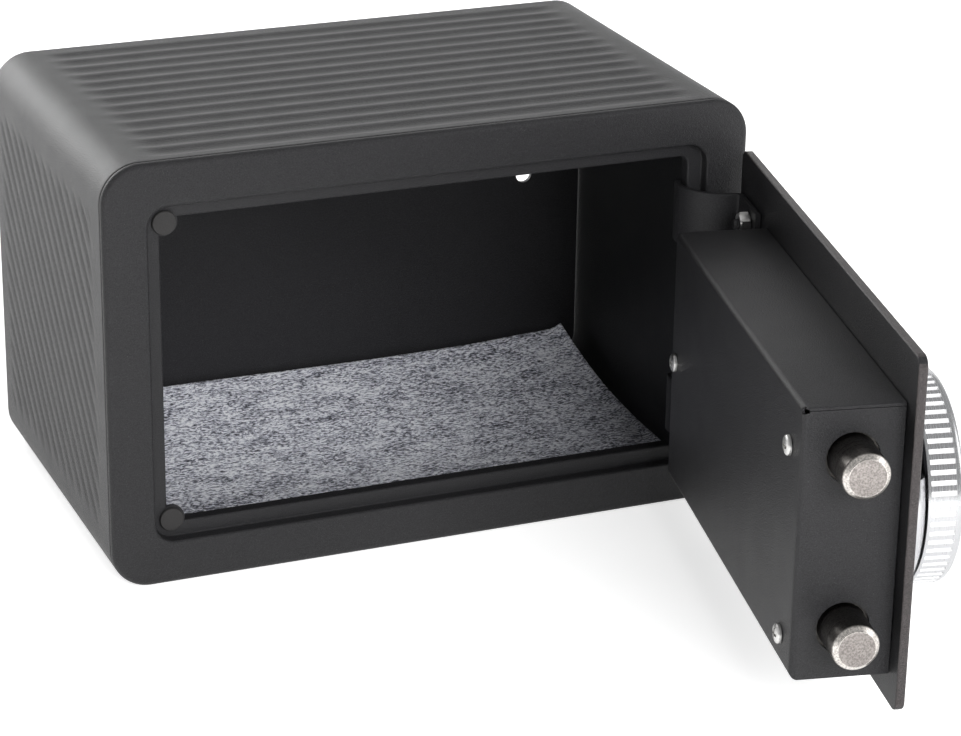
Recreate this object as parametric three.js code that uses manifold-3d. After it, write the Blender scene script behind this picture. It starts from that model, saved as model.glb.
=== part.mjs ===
// A small steel safe with a side-hung door, a round keypad knob and two locking bolts.
// Millimetres, +Z up. The origin is the middle of the flat bottom, and the front faces -Y.
// Inside this file y is counted back from the front plane. The last lines move everything to the origin.

import * as THREE from 'three';
import { mergeVertices } from 'three/addons/utils/BufferGeometryUtils.js';
import Module from 'manifold-3d';

const wasm = await Module();
wasm.setup();

// Body
const bodyWidth = 310;
const bodyDepth = 185;
const bodyHeight = 200;
const bodyCornerRadius = 18;
const bodySheet = 2;
const seamGap = 1;

// Clearances: seatGap between pieces that touch, fitGap round a piece that slides or turns
const seatGap = 0.3;
const fitGap = 0.4;
const overrun = 3;

// Front frame: insets are counted from the outside of the body
const frameSheet = 1.5;
const frameEdgeRadius = 2.5;
const frameRimDepth = 3;
const rebateInset = 20.5;
const rebateDepth = 6;
const rebateCornerRadius = 9.5;
const mouthBendRadius = 1.2;
const lipInset = 27.5;
const lipCornerRadius = 4;
const lipBendRadius = 1;
const lipFlangeDepth = 6;
const skirtDepth = 12;
const padInset = 29.3;
const padRadius = 5.5;
const padEarRim = 0.9;
const padThickness = 1.5;

// Back panel
const tetherHoleRadius = 4.25;
const tetherHoleInset = 33.4;
const tetherHoleZ = 109;

// Pressed grooves: straight ones across the top, slanting ones on both sides, all fading out at their ends
const topGroove = { width: 7.4, depth: 0.95, fade: 13 };
const topGroovePitch = 13;
const topGrooveEndMargin = 21;
const topGrooveFirst = 14.5;
const sideGroove = { width: 5.6, depth: 0.65, fade: 9 };
const sideGroovePitch = 9.5;
const sideGrooveSlopeDeg = 47;
const sideGrooveFrontMargin = 15;
const sideGrooveBackMargin = 9;
const sideGrooveLevelMargin = 22;

// Floor mat
const matThickness = 3;
const matEdgeClimbDeg = 34;
const matFrontInset = 13.5;

// Hinge: the pivot is counted from the outside of the body and from the front plane
const pivotInset = 8;
const pivotDepth = 9.5;
const doorOpenDeg = 78;
const pinRadius = 2.5;
const pinHeadRadius = 4;
const pinHeadHeight = 1.5;
const hingeEyeRadius = 4.3;
const strapThickness = 2.5;
const strapHeight = 28;
const strapArcRadius = 21.75;
const strapArmDeg = 86;
const strapBend = 4;
const strapFootLength = 30;
const strapFromTop = 70;
const bracketSheet = 2.5;
const bracketDepth = 12.5;
const bracketWidth = 9.5;
const bracketWeb = 2;
const hingeWindowMargin = 3;

// Door plate
const plateThickness = 4;
const plateEdgeGap = 2.2;
const plateCornerRadius = 5;
const studRadius = 2.9;
const studHeight = 10.5;
const weldDepth = 1.5;
const studFromStrapTop = 8;
const studFromFootEnd = 10;
const nutAcrossFlats = 10;
const nutHeight = 5;

// Lock cover, as seen with the door closed
const coverInsetAtBolts = 32.5;
const coverInsetAtHinge = 70;
const coverBottom = 36;
const coverFromTop = 45;
const coverDepth = 42;
const coverSheet = 1.3;
const coverBendRadius = 2.4;
const coverNotch = 2.2;
const coverScrewRadius = 1.75;
const coverScrewLength = 7;
const screwHeadRadius = 4.2;
const screwHeadHeight = 2.4;
const screwCrownShare = 0.75;
const screwRimShare = 0.5;
const crossWidth = 1.1;
const crossLength = 4.6;
const crossDepth = 1.4;
const coverScrewFromEnd = 15.5;
const upperScrewFromTop = 22;
const lowerScrewFromBottom = 14;
const hingeScrewFromEnd = 8.5;
const coverPostRadius = 5;

// Bolts and their carriage
const boltRadius = 10;
const boltThrow = 20;
const boltTravel = 19.5;
const boltFromCoverEdge = 22.5;
const boltDepth = 25;
const boltChamfer = 2.1;
const boltHoleGap = 1.2;
const spigotRadius = 3;
const rivetRadius = 4.5;
const rivetHeight = 2;
const guideSheet = 1.5;
const guideFoot = 20;
const guideFlange = 22;
const guideMargin = 4;
const carriageSheet = 2;
const carriageFront = 14;
const carriageBeforeSpindle = 31.2;
const carriagePastSpindle = 26.8;
const carriagePastBolt = 10.5;
const carriageTabDepth = 22;
const carriageTabHeight = 26;
const carriageArmLength = 42;
const carriageArmHeight = 19;
const guidePostFromSpindle = 10.5;
const guidePostPastBolt = 1;
const guideNeckRadius = 2.5;
const guidePostRadius = 4;
const guideHeadRadius = 5;
const guideHeadHeight = 2;

// Solenoid
const solenoidFromSpindle = 60.5;
const solenoidWidth = 26;
const solenoidDepth = 22;
const solenoidFromCoverTop = 17;
const solenoidSheet = 2;
const solenoidAboveArm = 3;
const plungerRadius = 4;
const plungerHeadroom = 6;
const plungerTipAboveArm = 1.5;
const plungerTravel = 5;
const plungerChamfer = 1;
const notchSpare = 2;
const coilRadius = 9;
const springWireRadius = 0.25;
const springRadius = 3.3;
const springTurns = 3;
const springPitch = 1.4;
const springStepsPerTurn = 8;
const springWireSides = 5;

// Lock board
const boardThickness = 1.6;
const boardWidth = 34;
const boardAboveCoverEdge = 4;
const boardBelowArm = 2;
const relayWidthShare = 0.4;
const relayHeightShare = 0.3;
const terminalHeightShare = 0.3;
const boardFootRadius = 3;
const boardFootHeight = 3.4;
const boardFootInset = 5;
const relayHeight = 7;

// Knob
const baseRadius = 49;
const baseDepth = 11.7;
const baseChamfer = 3;
const baseFlatHeight = 18;
const baseBand = 9;
const baseFromCoverEnd = 13;
const neckScrewFromRim = 11;
const neckScrewRadius = 1.75;
const neckScrewLength = 10;
const ringOuterRadius = 45.5;
const ringInnerRadius = 38;
const ringBackGap = 1.3;
const ringDepth = 16;
const ringSlotCount = 66;
const ringSlotWidth = 1.9;
const ringSlotDepth = 0.9;
const ringSlotBackMargin = 1.5;
const ringFrontRound = 3;
const ringRoundShare = 0.3;
const ringBackRound = 0.6;
const headWall = 1.5;
const faceThickness = 1.6;
const faceRecess = 0.4;
const keyCount = 12;
const keyRadius = 4.3;
const keyCircleRadius = 25.5;
const keyProud = 0.8;
const keyThickness = 2.1;
const keyChamfer = 0.5;
const lampWidth = 12;
const lampHeight = 2.8;
const lampFromAxis = 14.6;
const keyBoardThickness = 0.8;
const batteryRadius = 5.25;
const batteryLength = 44.5;
const batteryCount = 3;
const batteryFromAxis = 22.2;
const trayThickness = 1;
const trayEndWall = 1.2;
const trayEndHeight = 7;
const trayEndWallWidth = 5.8;
const spindleRadius = 5.5;
const spindleBore = 3.4;
const spindleFlangeRadius = 10;
const spindleFlange = 1.5;
const bushRadius = 7.7;
const bushFlangeRadius = 11;
const bushFlange = 2;
const camThickness = 3;
const camHubRadius = 9;
const camEndRadius = 5.5;
const camRadius = 19.5;
const camPinRadius = 3;
const camPinGap = 0.55;
const camPinLength = 4.5;
const knobTurnDeg = 60;
const spindleSlotGap = 1;
const clipRadius = 8;
const clipThickness = 1;
const spindleEnd = 1.2;
const cylinderRadius = 7;
const plugRadius = 4.6;
const plugSlotWidth = 1.4;
const plugSlotHeight = 6;
const plugSlotDepth = 4;
const tailWidth = 4.4;
const tailThickness = 2.2;

// Numbers of straight steps in round shapes
const cornerSteps = 6;
const bendSteps = 3;
const roundSides = 20;
const smallSides = 10;
const mediumSides = 36;
const largeSides = 44;
const grooveSides = 16;
const hexagonSides = 6;

// Derived places, y back from the front plane
const bodyMiddleZ = bodyHeight / 2;
const pivotX = bodyWidth / 2 - pivotInset;
const tetherHoleX = bodyWidth / 2 - tetherHoleInset;
const wrapperFront = frameRimDepth + seamGap;
const skirtInset = bodySheet + seatGap;
const panelFront = bodyDepth - bodySheet - seatGap / 2;
const plateInset = rebateInset + plateEdgeGap;
const plateLeft = -bodyWidth / 2 + plateInset;
const neckRadius = baseRadius - baseBand;
const neckScrewFromAxis = neckRadius - neckScrewFromRim;
const coverLeft = -bodyWidth / 2 + coverInsetAtBolts;
const coverRight = bodyWidth / 2 - coverInsetAtHinge;
const coverTop = bodyHeight - coverFromTop;
const coverFront = plateThickness + seatGap;
const coverBack = coverFront + coverDepth;
const coverInside = coverBack - coverSheet;
const knobX = coverLeft + baseFromCoverEnd + baseRadius;
const knobZ = (coverBottom + coverTop) / 2;
const upperStrapBottom = bodyHeight - strapFromTop;
const lowerStrapBottom = coverBottom + coverTop - upperStrapBottom - strapHeight;
const boltTip = coverLeft - boltThrow;
const boltLevels = [coverTop - boltFromCoverEdge, coverBottom + boltFromCoverEdge];
const carriageLeft = knobX - carriageBeforeSpindle;
const boltInner = carriageLeft - seatGap;
const carriageBack = carriageFront + carriageSheet;
const [carriageTop, carriageBottom] = [boltLevels[0] + carriagePastBolt, boltLevels[1] - carriagePastBolt];
const armTop = knobZ + carriageArmHeight / 2;
const armBottom = armTop - carriageArmHeight;
const solenoidX = knobX + solenoidFromSpindle;
const solenoidBottom = armTop + solenoidAboveArm;
const solenoidTop = coverTop - solenoidFromCoverTop;
const plungerTip = armTop + plungerTipAboveArm;
const plungerTop = plungerTip + solenoidTop - solenoidBottom - plungerHeadroom;
const solenoidMiddleY = coverFront + solenoidDepth / 2;
const upperScrewZ = coverTop - upperScrewFromTop;
const lowerScrewZ = coverBottom + lowerScrewFromBottom;
const coverScrewX = coverLeft + coverScrewFromEnd;
const postX = coverRight - hingeScrewFromEnd;
const camFront = carriageBack + 2 * seatGap;
const camBack = camFront + camThickness;
const clipFront = camBack + seatGap;
const baseBack = -seatGap;
const baseFace = baseBack - baseDepth;
const ringBack = baseFace - ringBackGap;
const ringFace = ringBack - ringDepth;
const headBack = ringBack - seatGap;
const headFloor = headBack - headWall;
const headRadius = ringInnerRadius - fitGap;
const headBore = headRadius - headWall;
const faceFront = ringFace + faceRecess;
const faceBack = faceFront + faceThickness;
const keyBoardFront = faceBack + seatGap;
const keyBoardBack = keyBoardFront + keyBoardThickness;
const batteryY = headFloor - seatGap - batteryRadius;
const spindleHead = headFloor - seatGap - spindleFlange;

const toRadians = (degrees) => THREE.MathUtils.degToRad(degrees);

// Turns a three.js geometry into a closed solid: corners shared, no collapsed triangles, faces outward.
function solid(geometry) {
  const bare = geometry.clone();
  bare.deleteAttribute('normal');
  bare.deleteAttribute('uv');
  const merged = mergeVertices(bare);
  const points = merged.attributes.position.array;
  const index = merged.index.array;
  const triangles = [];
  const [p, q, r] = [new THREE.Vector3(), new THREE.Vector3(), new THREE.Vector3()];
  let volume = 0;
  for (let i = 0; i < index.length; i += 3) {
    const [a, b, c] = [index[i], index[i + 1], index[i + 2]];
    if (a === b || b === c || c === a) continue;
    triangles.push([a, b, c]);
    volume += p.fromArray(points, 3 * a).dot(q.fromArray(points, 3 * b).cross(r.fromArray(points, 3 * c)));
  }
  const outward = volume > 0 ? triangles : triangles.map(([a, b, c]) => [a, c, b]);
  const vertProperties = new Float32Array(points);
  const triVerts = new Uint32Array(outward.flat());
  return new wasm.Manifold(new wasm.Mesh({ numProp: 3, vertProperties, triVerts }));
}

const join = (first, ...others) => others.reduce((whole, part) => whole.add(part), first);
const cut = (first, ...others) => others.reduce((whole, part) => whole.subtract(part), first);

// Box between two corners.
function block([left, right], [front, back], [bottom, top]) {
  const geometry = new THREE.BoxGeometry(right - left, back - front, top - bottom);
  geometry.translate((left + right) / 2, (front + back) / 2, (bottom + top) / 2);
  return solid(geometry);
}

// An outline drawn in x and z, carried from front to back.
function plate(shape, front, back, steps = cornerSteps) {
  const geometry = new THREE.ExtrudeGeometry(shape, {
    depth: back - front,
    bevelEnabled: false,
    curveSegments: steps,
  });
  geometry.rotateX(Math.PI / 2);
  geometry.translate(0, back, 0);
  return solid(geometry);
}

// An outline drawn in x and y, carried upwards.
function column(shape, bottom, top, steps = cornerSteps) {
  const geometry = new THREE.ExtrudeGeometry(shape, {
    depth: top - bottom,
    bevelEnabled: false,
    curveSegments: steps,
  });
  geometry.translate(0, 0, bottom);
  return solid(geometry);
}

// A profile of [radius, place along the axis] pairs, turned about an axis through the centre.
const turnAxis = {
  x: (geometry) => geometry.rotateZ(-Math.PI / 2),
  y: (geometry) => geometry,
  z: (geometry) => geometry.rotateX(Math.PI / 2),
};
function turned(axis, [x, y, z], profile, sides = roundSides) {
  const points = profile.map(([radius, along]) => new THREE.Vector2(radius, along));
  const geometry = turnAxis[axis](new THREE.LatheGeometry(points, sides));
  geometry.translate(x, y, z);
  return solid(geometry);
}

function rod(axis, centre, radius, from, to, sides = roundSides) {
  return turned(axis, centre, [[0, from], [radius, from], [radius, to], [0, to]], sides);
}

function pipe(axis, centre, outer, inner, from, to, sides = roundSides) {
  const profile = [[inner, from], [outer, from], [outer, to], [inner, to], [inner, from]];
  return turned(axis, centre, profile, sides);
}

function roundedRectangle(left, right, bottom, top, radius) {
  const shape = new THREE.Shape();
  shape.absarc(right - radius, top - radius, radius, 0, Math.PI / 2);
  shape.absarc(left + radius, top - radius, radius, Math.PI / 2, Math.PI);
  shape.absarc(left + radius, bottom + radius, radius, Math.PI, 1.5 * Math.PI);
  shape.absarc(right - radius, bottom + radius, radius, 1.5 * Math.PI, 2 * Math.PI);
  shape.closePath();
  return shape;
}

function outline(points) {
  return new THREE.Shape(points.map(([x, y]) => new THREE.Vector2(x, y)));
}

// The points of one rounded rectangle in the body's cross-section, set in from its outside.
function sectionRing({ inset, radius, y }) {
  const reachX = bodyWidth / 2 - inset - radius;
  const reachZ = bodyHeight / 2 - inset - radius;
  const points = [];
  [[1, 1], [-1, 1], [-1, -1], [1, -1]].forEach(([sideX, sideZ], corner) => {
    for (let step = 0; step <= cornerSteps; step += 1) {
      const angle = (corner + step / cornerSteps) * Math.PI / 2;
      const x = sideX * reachX + radius * Math.cos(angle);
      const z = bodyMiddleZ + sideZ * reachZ + radius * Math.sin(angle);
      points.push(x, y, z);
    }
  });
  return points;
}

// Joins rings of equal point counts into one skin that closes on itself like a bent tube.
function ringLoft(rings) {
  const perRing = rings[0].length / 3;
  const index = [];
  for (let ring = 0; ring < rings.length; ring += 1) {
    const next = (ring + 1) % rings.length;
    for (let i = 0; i < perRing; i += 1) {
      const j = (i + 1) % perRing;
      const [a, b] = [ring * perRing + i, ring * perRing + j];
      const [c, d] = [next * perRing + i, next * perRing + j];
      index.push(a, b, c, b, d, c);
    }
  }
  const geometry = new THREE.BufferGeometry();
  geometry.setAttribute('position', new THREE.Float32BufferAttribute(rings.flat(), 3));
  geometry.setIndex(index);
  return solid(geometry);
}

// Outline of a strip of even thickness along a centre line.
function strip(path, thickness) {
  const sides = [1, -1].map((side) => path.map(([x, y], i) => {
    const [x0, y0] = path[Math.max(i - 1, 0)];
    const [x1, y1] = path[Math.min(i + 1, path.length - 1)];
    const length = Math.hypot(x1 - x0, y1 - y0);
    const reach = side * thickness / 2 / length;
    return [x - (y1 - y0) * reach, y + (x1 - x0) * reach];
  }));
  return outline([...sides[0], ...sides[1].reverse()]);
}

// A smooth bend from one point to another that leaves and arrives along the lines to the corner.
function bend(from, corner, to) {
  const curve = new THREE.QuadraticBezierCurve(
    new THREE.Vector2(...from),
    new THREE.Vector2(...corner),
    new THREE.Vector2(...to),
  );
  return curve.getPoints(bendSteps + 1).map((point) => [point.x, point.y]);
}

// Materials
function finish(color, roughness, metalness) {
  return new THREE.MeshStandardMaterial({ color, roughness, metalness });
}
const blackPaint = () => finish(0x26272a, 0.62, 0.1);
const brightSteel = () => finish(0xc9c6c0, 0.3, 1);
const zincSteel = () => finish(0xa9abad, 0.4, 0.9);
const satinSilver = () => finish(0xb9bbbe, 0.35, 0.9);
const blackPlastic = () => finish(0x1b1c1e, 0.5, 0);
const greyPlastic = () => finish(0x55585c, 0.55, 0);
const felt = () => finish(0x8d93a0, 1, 0);
const rubber = () => finish(0x1f1f20, 0.85, 0);
const copper = () => finish(0xa5622f, 0.4, 0.9);
const circuitGreen = () => finish(0x1f5b3a, 0.5, 0);
const brass = () => finish(0xb39a55, 0.35, 1);
const lampGreen = () => finish(0x4f7f5a, 0.2, 0);
const batteryWrap = () => finish(0x3b5f9a, 0.4, 0.2);

const safeBody = new THREE.Group();
const closedDoor = new THREE.Group();

function addPiece(group, name, body, material) {
  const { vertProperties, triVerts } = body.getMesh();
  const geometry = new THREE.BufferGeometry();
  geometry.setAttribute('position', new THREE.BufferAttribute(vertProperties, 3));
  geometry.setIndex(new THREE.BufferAttribute(triVerts, 1));
  geometry.computeVertexNormals();
  const piece = new THREE.Mesh(geometry, material);
  piece.name = name;
  group.add(piece);
}

// The tool that presses one groove: a long round bar, thinner towards both ends, lying just above the sheet.
function grooveTool({ width, depth, fade }, length) {
  const radius = (width ** 2 / 4 + depth ** 2) / (2 * depth);
  const above = radius - depth;
  const profile = [
    [0, -length / 2],
    [above, -length / 2],
    [radius, fade - length / 2],
    [radius, length / 2 - fade],
    [above, length / 2],
    [0, length / 2],
  ].map(([bar, along]) => new THREE.Vector2(bar, along));
  const geometry = new THREE.LatheGeometry(profile, grooveSides);
  geometry.rotateY(Math.PI / grooveSides);
  geometry.rotateZ(-Math.PI / 2);
  return geometry.translate(0, 0, above);
}

// Grooves across the top, as many as fit between equal margins at the front and at the back.
function topGrooves() {
  const length = bodyWidth - 2 * topGrooveEndMargin;
  const count = Math.floor((bodyDepth - 2 * topGrooveFirst) / topGroovePitch) + 1;
  return Array.from({ length: count }, (_, groove) => {
    const tool = grooveTool(topGroove, length);
    tool.translate(0, topGrooveFirst + groove * topGroovePitch, bodyHeight);
    return solid(tool);
  });
}

// Slanting grooves of one side: parallel lines at an even pitch, each cut to the pressed field.
function sideGrooves(side) {
  const slope = toRadians(sideGrooveSlopeDeg);
  const [alongY, alongZ] = [Math.cos(slope), Math.sin(slope)];
  const middleY = (sideGrooveFrontMargin + bodyDepth - sideGrooveBackMargin) / 2;
  const halfY = middleY - sideGrooveFrontMargin;
  const halfZ = bodyMiddleZ - sideGrooveLevelMargin;
  const reach = Math.ceil((halfY * alongZ + halfZ * alongY) / sideGroovePitch);
  const grooves = [];
  for (let line = -reach; line <= reach; line += 1) {
    const [offY, offZ] = [line * sideGroovePitch * alongZ, -line * sideGroovePitch * alongY];
    const from = Math.max((-halfY - offY) / alongY, (-halfZ - offZ) / alongZ);
    const to = Math.min((halfY - offY) / alongY, (halfZ - offZ) / alongZ);
    if (to - from < 2 * sideGroove.fade + sideGroove.width) continue;
    const tool = grooveTool(sideGroove, to - from);
    const middle = (from + to) / 2;
    const [y, z] = [middleY + offY + middle * alongY, bodyMiddleZ + offZ + middle * alongZ];
    tool.rotateY(side * Math.PI / 2);
    tool.rotateX(slope - Math.PI / 2);
    tool.translate(side * bodyWidth / 2, y, z);
    grooves.push(solid(tool));
  }
  return grooves;
}

// Body wrapper: one sheet bent round into a tube, its grooves pressed from outside.
function bodyWrapper() {
  const outside = { inset: 0, radius: bodyCornerRadius };
  const inside = { inset: bodySheet, radius: bodyCornerRadius - bodySheet };
  const tube = ringLoft([
    sectionRing({ ...outside, y: wrapperFront }),
    sectionRing({ ...outside, y: bodyDepth }),
    sectionRing({ ...inside, y: bodyDepth }),
    sectionRing({ ...inside, y: wrapperFront }),
  ]);
  return cut(tube, ...topGrooves(), ...sideGrooves(1), ...sideGrooves(-1));
}

// Back panel, let into the tube flush with its rear edge, with the hole for a tether.
function backPanel() {
  const edge = bodySheet + seatGap;
  const shape = roundedRectangle(
    -bodyWidth / 2 + edge,
    bodyWidth / 2 - edge,
    edge,
    bodyHeight - edge,
    bodyCornerRadius - edge,
  );
  const through = [panelFront - overrun, bodyDepth + overrun];
  const hole = rod('y', [tetherHoleX, 0, tetherHoleZ], tetherHoleRadius, ...through);
  return cut(plate(shape, panelFront, bodyDepth - seatGap / 2), hole);
}

// The section of the pressed front frame, from the rounded outer edge inwards and back along the skirt.
function frameSection() {
  const section = [];
  for (let step = 0; step <= bendSteps; step += 1) {
    const angle = step / bendSteps * Math.PI / 2;
    const inset = frameEdgeRadius * (1 - Math.cos(angle));
    section.push([inset, frameEdgeRadius * (1 - Math.sin(angle)), bodyCornerRadius - inset]);
  }
  for (let step = 0; step <= bendSteps; step += 1) {
    const angle = step / bendSteps * Math.PI / 2;
    const inset = rebateInset - mouthBendRadius * (1 - Math.sin(angle));
    const y = mouthBendRadius * (1 - Math.cos(angle));
    section.push([inset, y, rebateCornerRadius + rebateInset - inset]);
  }
  section.push([rebateInset, rebateDepth, rebateCornerRadius]);
  for (let step = 0; step <= bendSteps; step += 1) {
    const angle = step / bendSteps * Math.PI / 2;
    const inset = lipInset - lipBendRadius * (1 - Math.sin(angle));
    const y = rebateDepth + lipBendRadius * (1 - Math.cos(angle));
    section.push([inset, y, lipCornerRadius + lipInset - inset]);
  }
  const flangeBack = rebateDepth + lipFlangeDepth;
  const innerSkirt = skirtInset + frameSheet;
  section.push([lipInset, flangeBack, lipCornerRadius]);
  section.push([lipInset - frameSheet, flangeBack, lipCornerRadius + frameSheet]);
  section.push([lipInset - frameSheet, rebateDepth + frameSheet, lipCornerRadius + frameSheet]);
  section.push([rebateInset - frameSheet, rebateDepth + frameSheet, rebateCornerRadius + frameSheet]);
  section.push([rebateInset - frameSheet, frameSheet, rebateCornerRadius + frameSheet]);
  section.push([innerSkirt, frameSheet, bodyCornerRadius - innerSkirt]);
  section.push([innerSkirt, skirtDepth, bodyCornerRadius - innerSkirt]);
  section.push([skirtInset, skirtDepth, bodyCornerRadius - skirtInset]);
  section.push([skirtInset, frameRimDepth, bodyCornerRadius - skirtInset]);
  section.push([0, frameRimDepth, bodyCornerRadius]);
  return section;
}

const padX = -bodyWidth / 2 + padInset;
const padLevels = { upper: bodyHeight - padInset, lower: padInset };

// Front frame: border, recess, ledge, turned-in lip and skirt in one pressing, with ears under the pads
// and windows in the skirt where the hinge eyes turn.
function frontFrame() {
  const rings = frameSection().map(([inset, y, radius]) => sectionRing({ inset, radius, y }));
  const ears = Object.values(padLevels).map((z) => rod(
    'y',
    [padX, 0, z],
    padRadius + padEarRim,
    rebateDepth,
    rebateDepth + frameSheet,
  ));
  const windows = [upperStrapBottom, lowerStrapBottom].map((bottom) => block(
    [bodyWidth / 2 - skirtInset - frameSheet - overrun / 2, bodyWidth / 2 - bodySheet],
    [frameRimDepth + seatGap, skirtDepth + overrun],
    [bottom - bracketSheet - hingeWindowMargin, bottom + strapHeight + bracketSheet + hingeWindowMargin],
  ));
  return cut(join(ringLoft(rings), ...ears), ...windows);
}

// Floor mat: felt with its two side edges climbing the bends of the tube.
function floorMat() {
  const bendCentre = [bodyWidth / 2 - bodyCornerRadius, bodyCornerRadius];
  const under = bodyCornerRadius - bodySheet - seatGap;
  const arc = (radius) => {
    const points = [];
    for (let step = 0; step <= bendSteps + 1; step += 1) {
      const angle = toRadians(matEdgeClimbDeg) * step / (bendSteps + 1);
      points.push([bendCentre[0] + radius * Math.sin(angle), bendCentre[1] - radius * Math.cos(angle)]);
    }
    return points;
  };
  const right = [...arc(under), ...arc(under - matThickness).reverse()];
  const left = right.map(([x, z]) => [-x, z]).reverse();
  return plate(outline([...right, ...left]), matFrontInset, panelFront - seatGap);
}

function bumperPad(z) {
  const back = rebateDepth - seatGap;
  const front = back - padThickness;
  return turned('y', [padX, 0, z], [
    [0, back],
    [padRadius, back],
    [padRadius, front + seatGap],
    [padRadius - seatGap, front],
    [0, front],
  ]);
}

// Hinge bracket: two ears on a web that sits behind the border.
function hingeBracket(strapBottom) {
  const left = pivotX - bracketWidth / 2 - seatGap;
  const right = pivotX + hingeEyeRadius - seatGap;
  const front = frameSheet + seatGap;
  const eyeBottom = strapBottom - seatGap;
  const eyeTop = strapBottom + strapHeight + seatGap;
  const [bottom, top] = [eyeBottom - bracketSheet, eyeTop + bracketSheet];
  const whole = block([left, right], [front, front + bracketDepth], [bottom, top]);
  const between = block(
    [left - overrun, right + overrun],
    [front + bracketWeb, front + bracketDepth + overrun],
    [eyeBottom, eyeTop],
  );
  const bore = rod('z', [pivotX, pivotDepth, 0], pinRadius + seatGap, bottom - overrun, top + overrun);
  return cut(whole, between, bore);
}

function hingePin(strapBottom) {
  const bottom = strapBottom - bracketSheet - 2 * seatGap;
  const shoulder = strapBottom + strapHeight + bracketSheet + 2 * seatGap;
  const profile = [
    [0, bottom],
    [pinRadius, bottom],
    [pinRadius, shoulder],
    [pinHeadRadius, shoulder],
    [pinHeadRadius, shoulder + pinHeadHeight],
    [0, shoulder + pinHeadHeight],
  ];
  return turned('z', [pivotX, pivotDepth, 0], profile, smallSides);
}

// Gooseneck strap: foot on the plate, arc round the frame's lip, arm to the eye.
const footMiddle = plateThickness + seatGap + strapThickness / 2;
const footAngle = Math.PI + Math.asin((pivotDepth - footMiddle) / strapArcRadius);
const onArc = (angle, radius = strapArcRadius) => [
  pivotX + radius * Math.cos(angle),
  pivotDepth + radius * Math.sin(angle),
];
const footCorner = onArc(footAngle);
const footEndX = footCorner[0] - strapFootLength;
const studX = footEndX + studFromFootEnd;
const studLevels = {
  upper: upperStrapBottom + strapHeight - studFromStrapTop,
  lower: lowerStrapBottom + studFromStrapTop,
};

function hingeStrap(bottom, studZ) {
  const armAngle = toRadians(strapArmDeg);
  const bendAngle = strapBend / strapArcRadius;
  const path = [[footEndX, footMiddle]];
  path.push(...bend([footCorner[0] - strapBend, footMiddle], footCorner, onArc(footAngle - bendAngle)));
  const arcSteps = 2 * cornerSteps;
  for (let step = 1; step < arcSteps; step += 1) {
    const share = step / arcSteps;
    path.push(onArc(THREE.MathUtils.lerp(footAngle - bendAngle, armAngle + bendAngle, share)));
  }
  const armStart = onArc(armAngle, strapArcRadius - strapBend);
  path.push(...bend(onArc(armAngle + bendAngle), onArc(armAngle), armStart));
  path.push(onArc(armAngle, hingeEyeRadius - seatGap));
  const top = bottom + strapHeight;
  const eye = rod('z', [pivotX, pivotDepth, 0], hingeEyeRadius, bottom, top, smallSides);
  const bore = rod(
    'z',
    [pivotX, pivotDepth, 0],
    pinRadius + seatGap,
    bottom - overrun,
    top + overrun,
    smallSides,
  );
  const hole = rod(
    'y',
    [studX, 0, studZ],
    studRadius + seatGap,
    0,
    plateThickness + seatGap + strapThickness + overrun,
    smallSides,
  );
  return cut(join(column(strip(path, strapThickness), bottom, top), eye), bore, hole);
}

const guidePostPlaces = boltLevels.map((level) => [
  knobX + guidePostFromSpindle,
  level + Math.sign(level - knobZ) * guidePostPastBolt,
]);

// Welded post on which the carriage slides: a neck through the slot, riveted over at its end.
function guidePost([x, z]) {
  return turned('y', [x, 0, z], [
    [0, plateThickness - weldDepth],
    [guidePostRadius, plateThickness - weldDepth],
    [guidePostRadius, carriageFront - seatGap],
    [guideNeckRadius, carriageFront - seatGap],
    [guideNeckRadius, carriageBack + seatGap],
    [guideHeadRadius, carriageBack + seatGap],
    [guideHeadRadius, carriageBack + seatGap + guideHeadHeight],
    [0, carriageBack + seatGap + guideHeadHeight],
  ], smallSides);
}

// Welded post with a tapped hole for the cover's third screw.
function coverPost() {
  const end = coverInside - seatGap;
  const post = rod('y', [postX, 0, knobZ], coverPostRadius, plateThickness - weldDepth, end, smallSides);
  const tapped = rod(
    'y',
    [postX, 0, knobZ],
    coverScrewRadius + seatGap,
    end - coverScrewLength,
    end + overrun,
    smallSides,
  );
  return cut(post, tapped);
}

// Door plate with what is welded to it, the bore for the bush and two holes for the knob's screws.
function doorPlate() {
  const shape = roundedRectangle(
    plateLeft,
    -plateLeft,
    plateInset,
    bodyHeight - plateInset,
    plateCornerRadius,
  );
  const studs = Object.values(studLevels).map((z) => rod(
    'y',
    [studX, 0, z],
    studRadius,
    plateThickness - weldDepth,
    plateThickness + studHeight,
    smallSides,
  ));
  const through = [-overrun, plateThickness + overrun];
  const bore = rod('y', [knobX, 0, knobZ], bushRadius + seatGap, ...through);
  const screwHoles = [-1, 1].map((side) => rod(
    'y',
    [knobX + side * neckScrewFromAxis, 0, knobZ],
    neckScrewRadius + seatGap,
    ...through,
    smallSides,
  ));
  const bare = cut(plate(shape, 0, plateThickness), bore, ...screwHoles);
  return join(bare, ...studs, ...guidePostPlaces.map(guidePost), coverPost());
}

// Hexagon nut on the stud of a strap.
function hingeNut(z) {
  const front = plateThickness + 2 * seatGap + strapThickness;
  const corner = nutAcrossFlats / 2 / Math.cos(Math.PI / hexagonSides);
  return cut(
    rod('y', [studX, 0, z], corner, front, front + nutHeight, hexagonSides),
    rod('y', [studX, 0, z], studRadius + seatGap, front - overrun, front + nutHeight + overrun, smallSides),
  );
}

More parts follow.
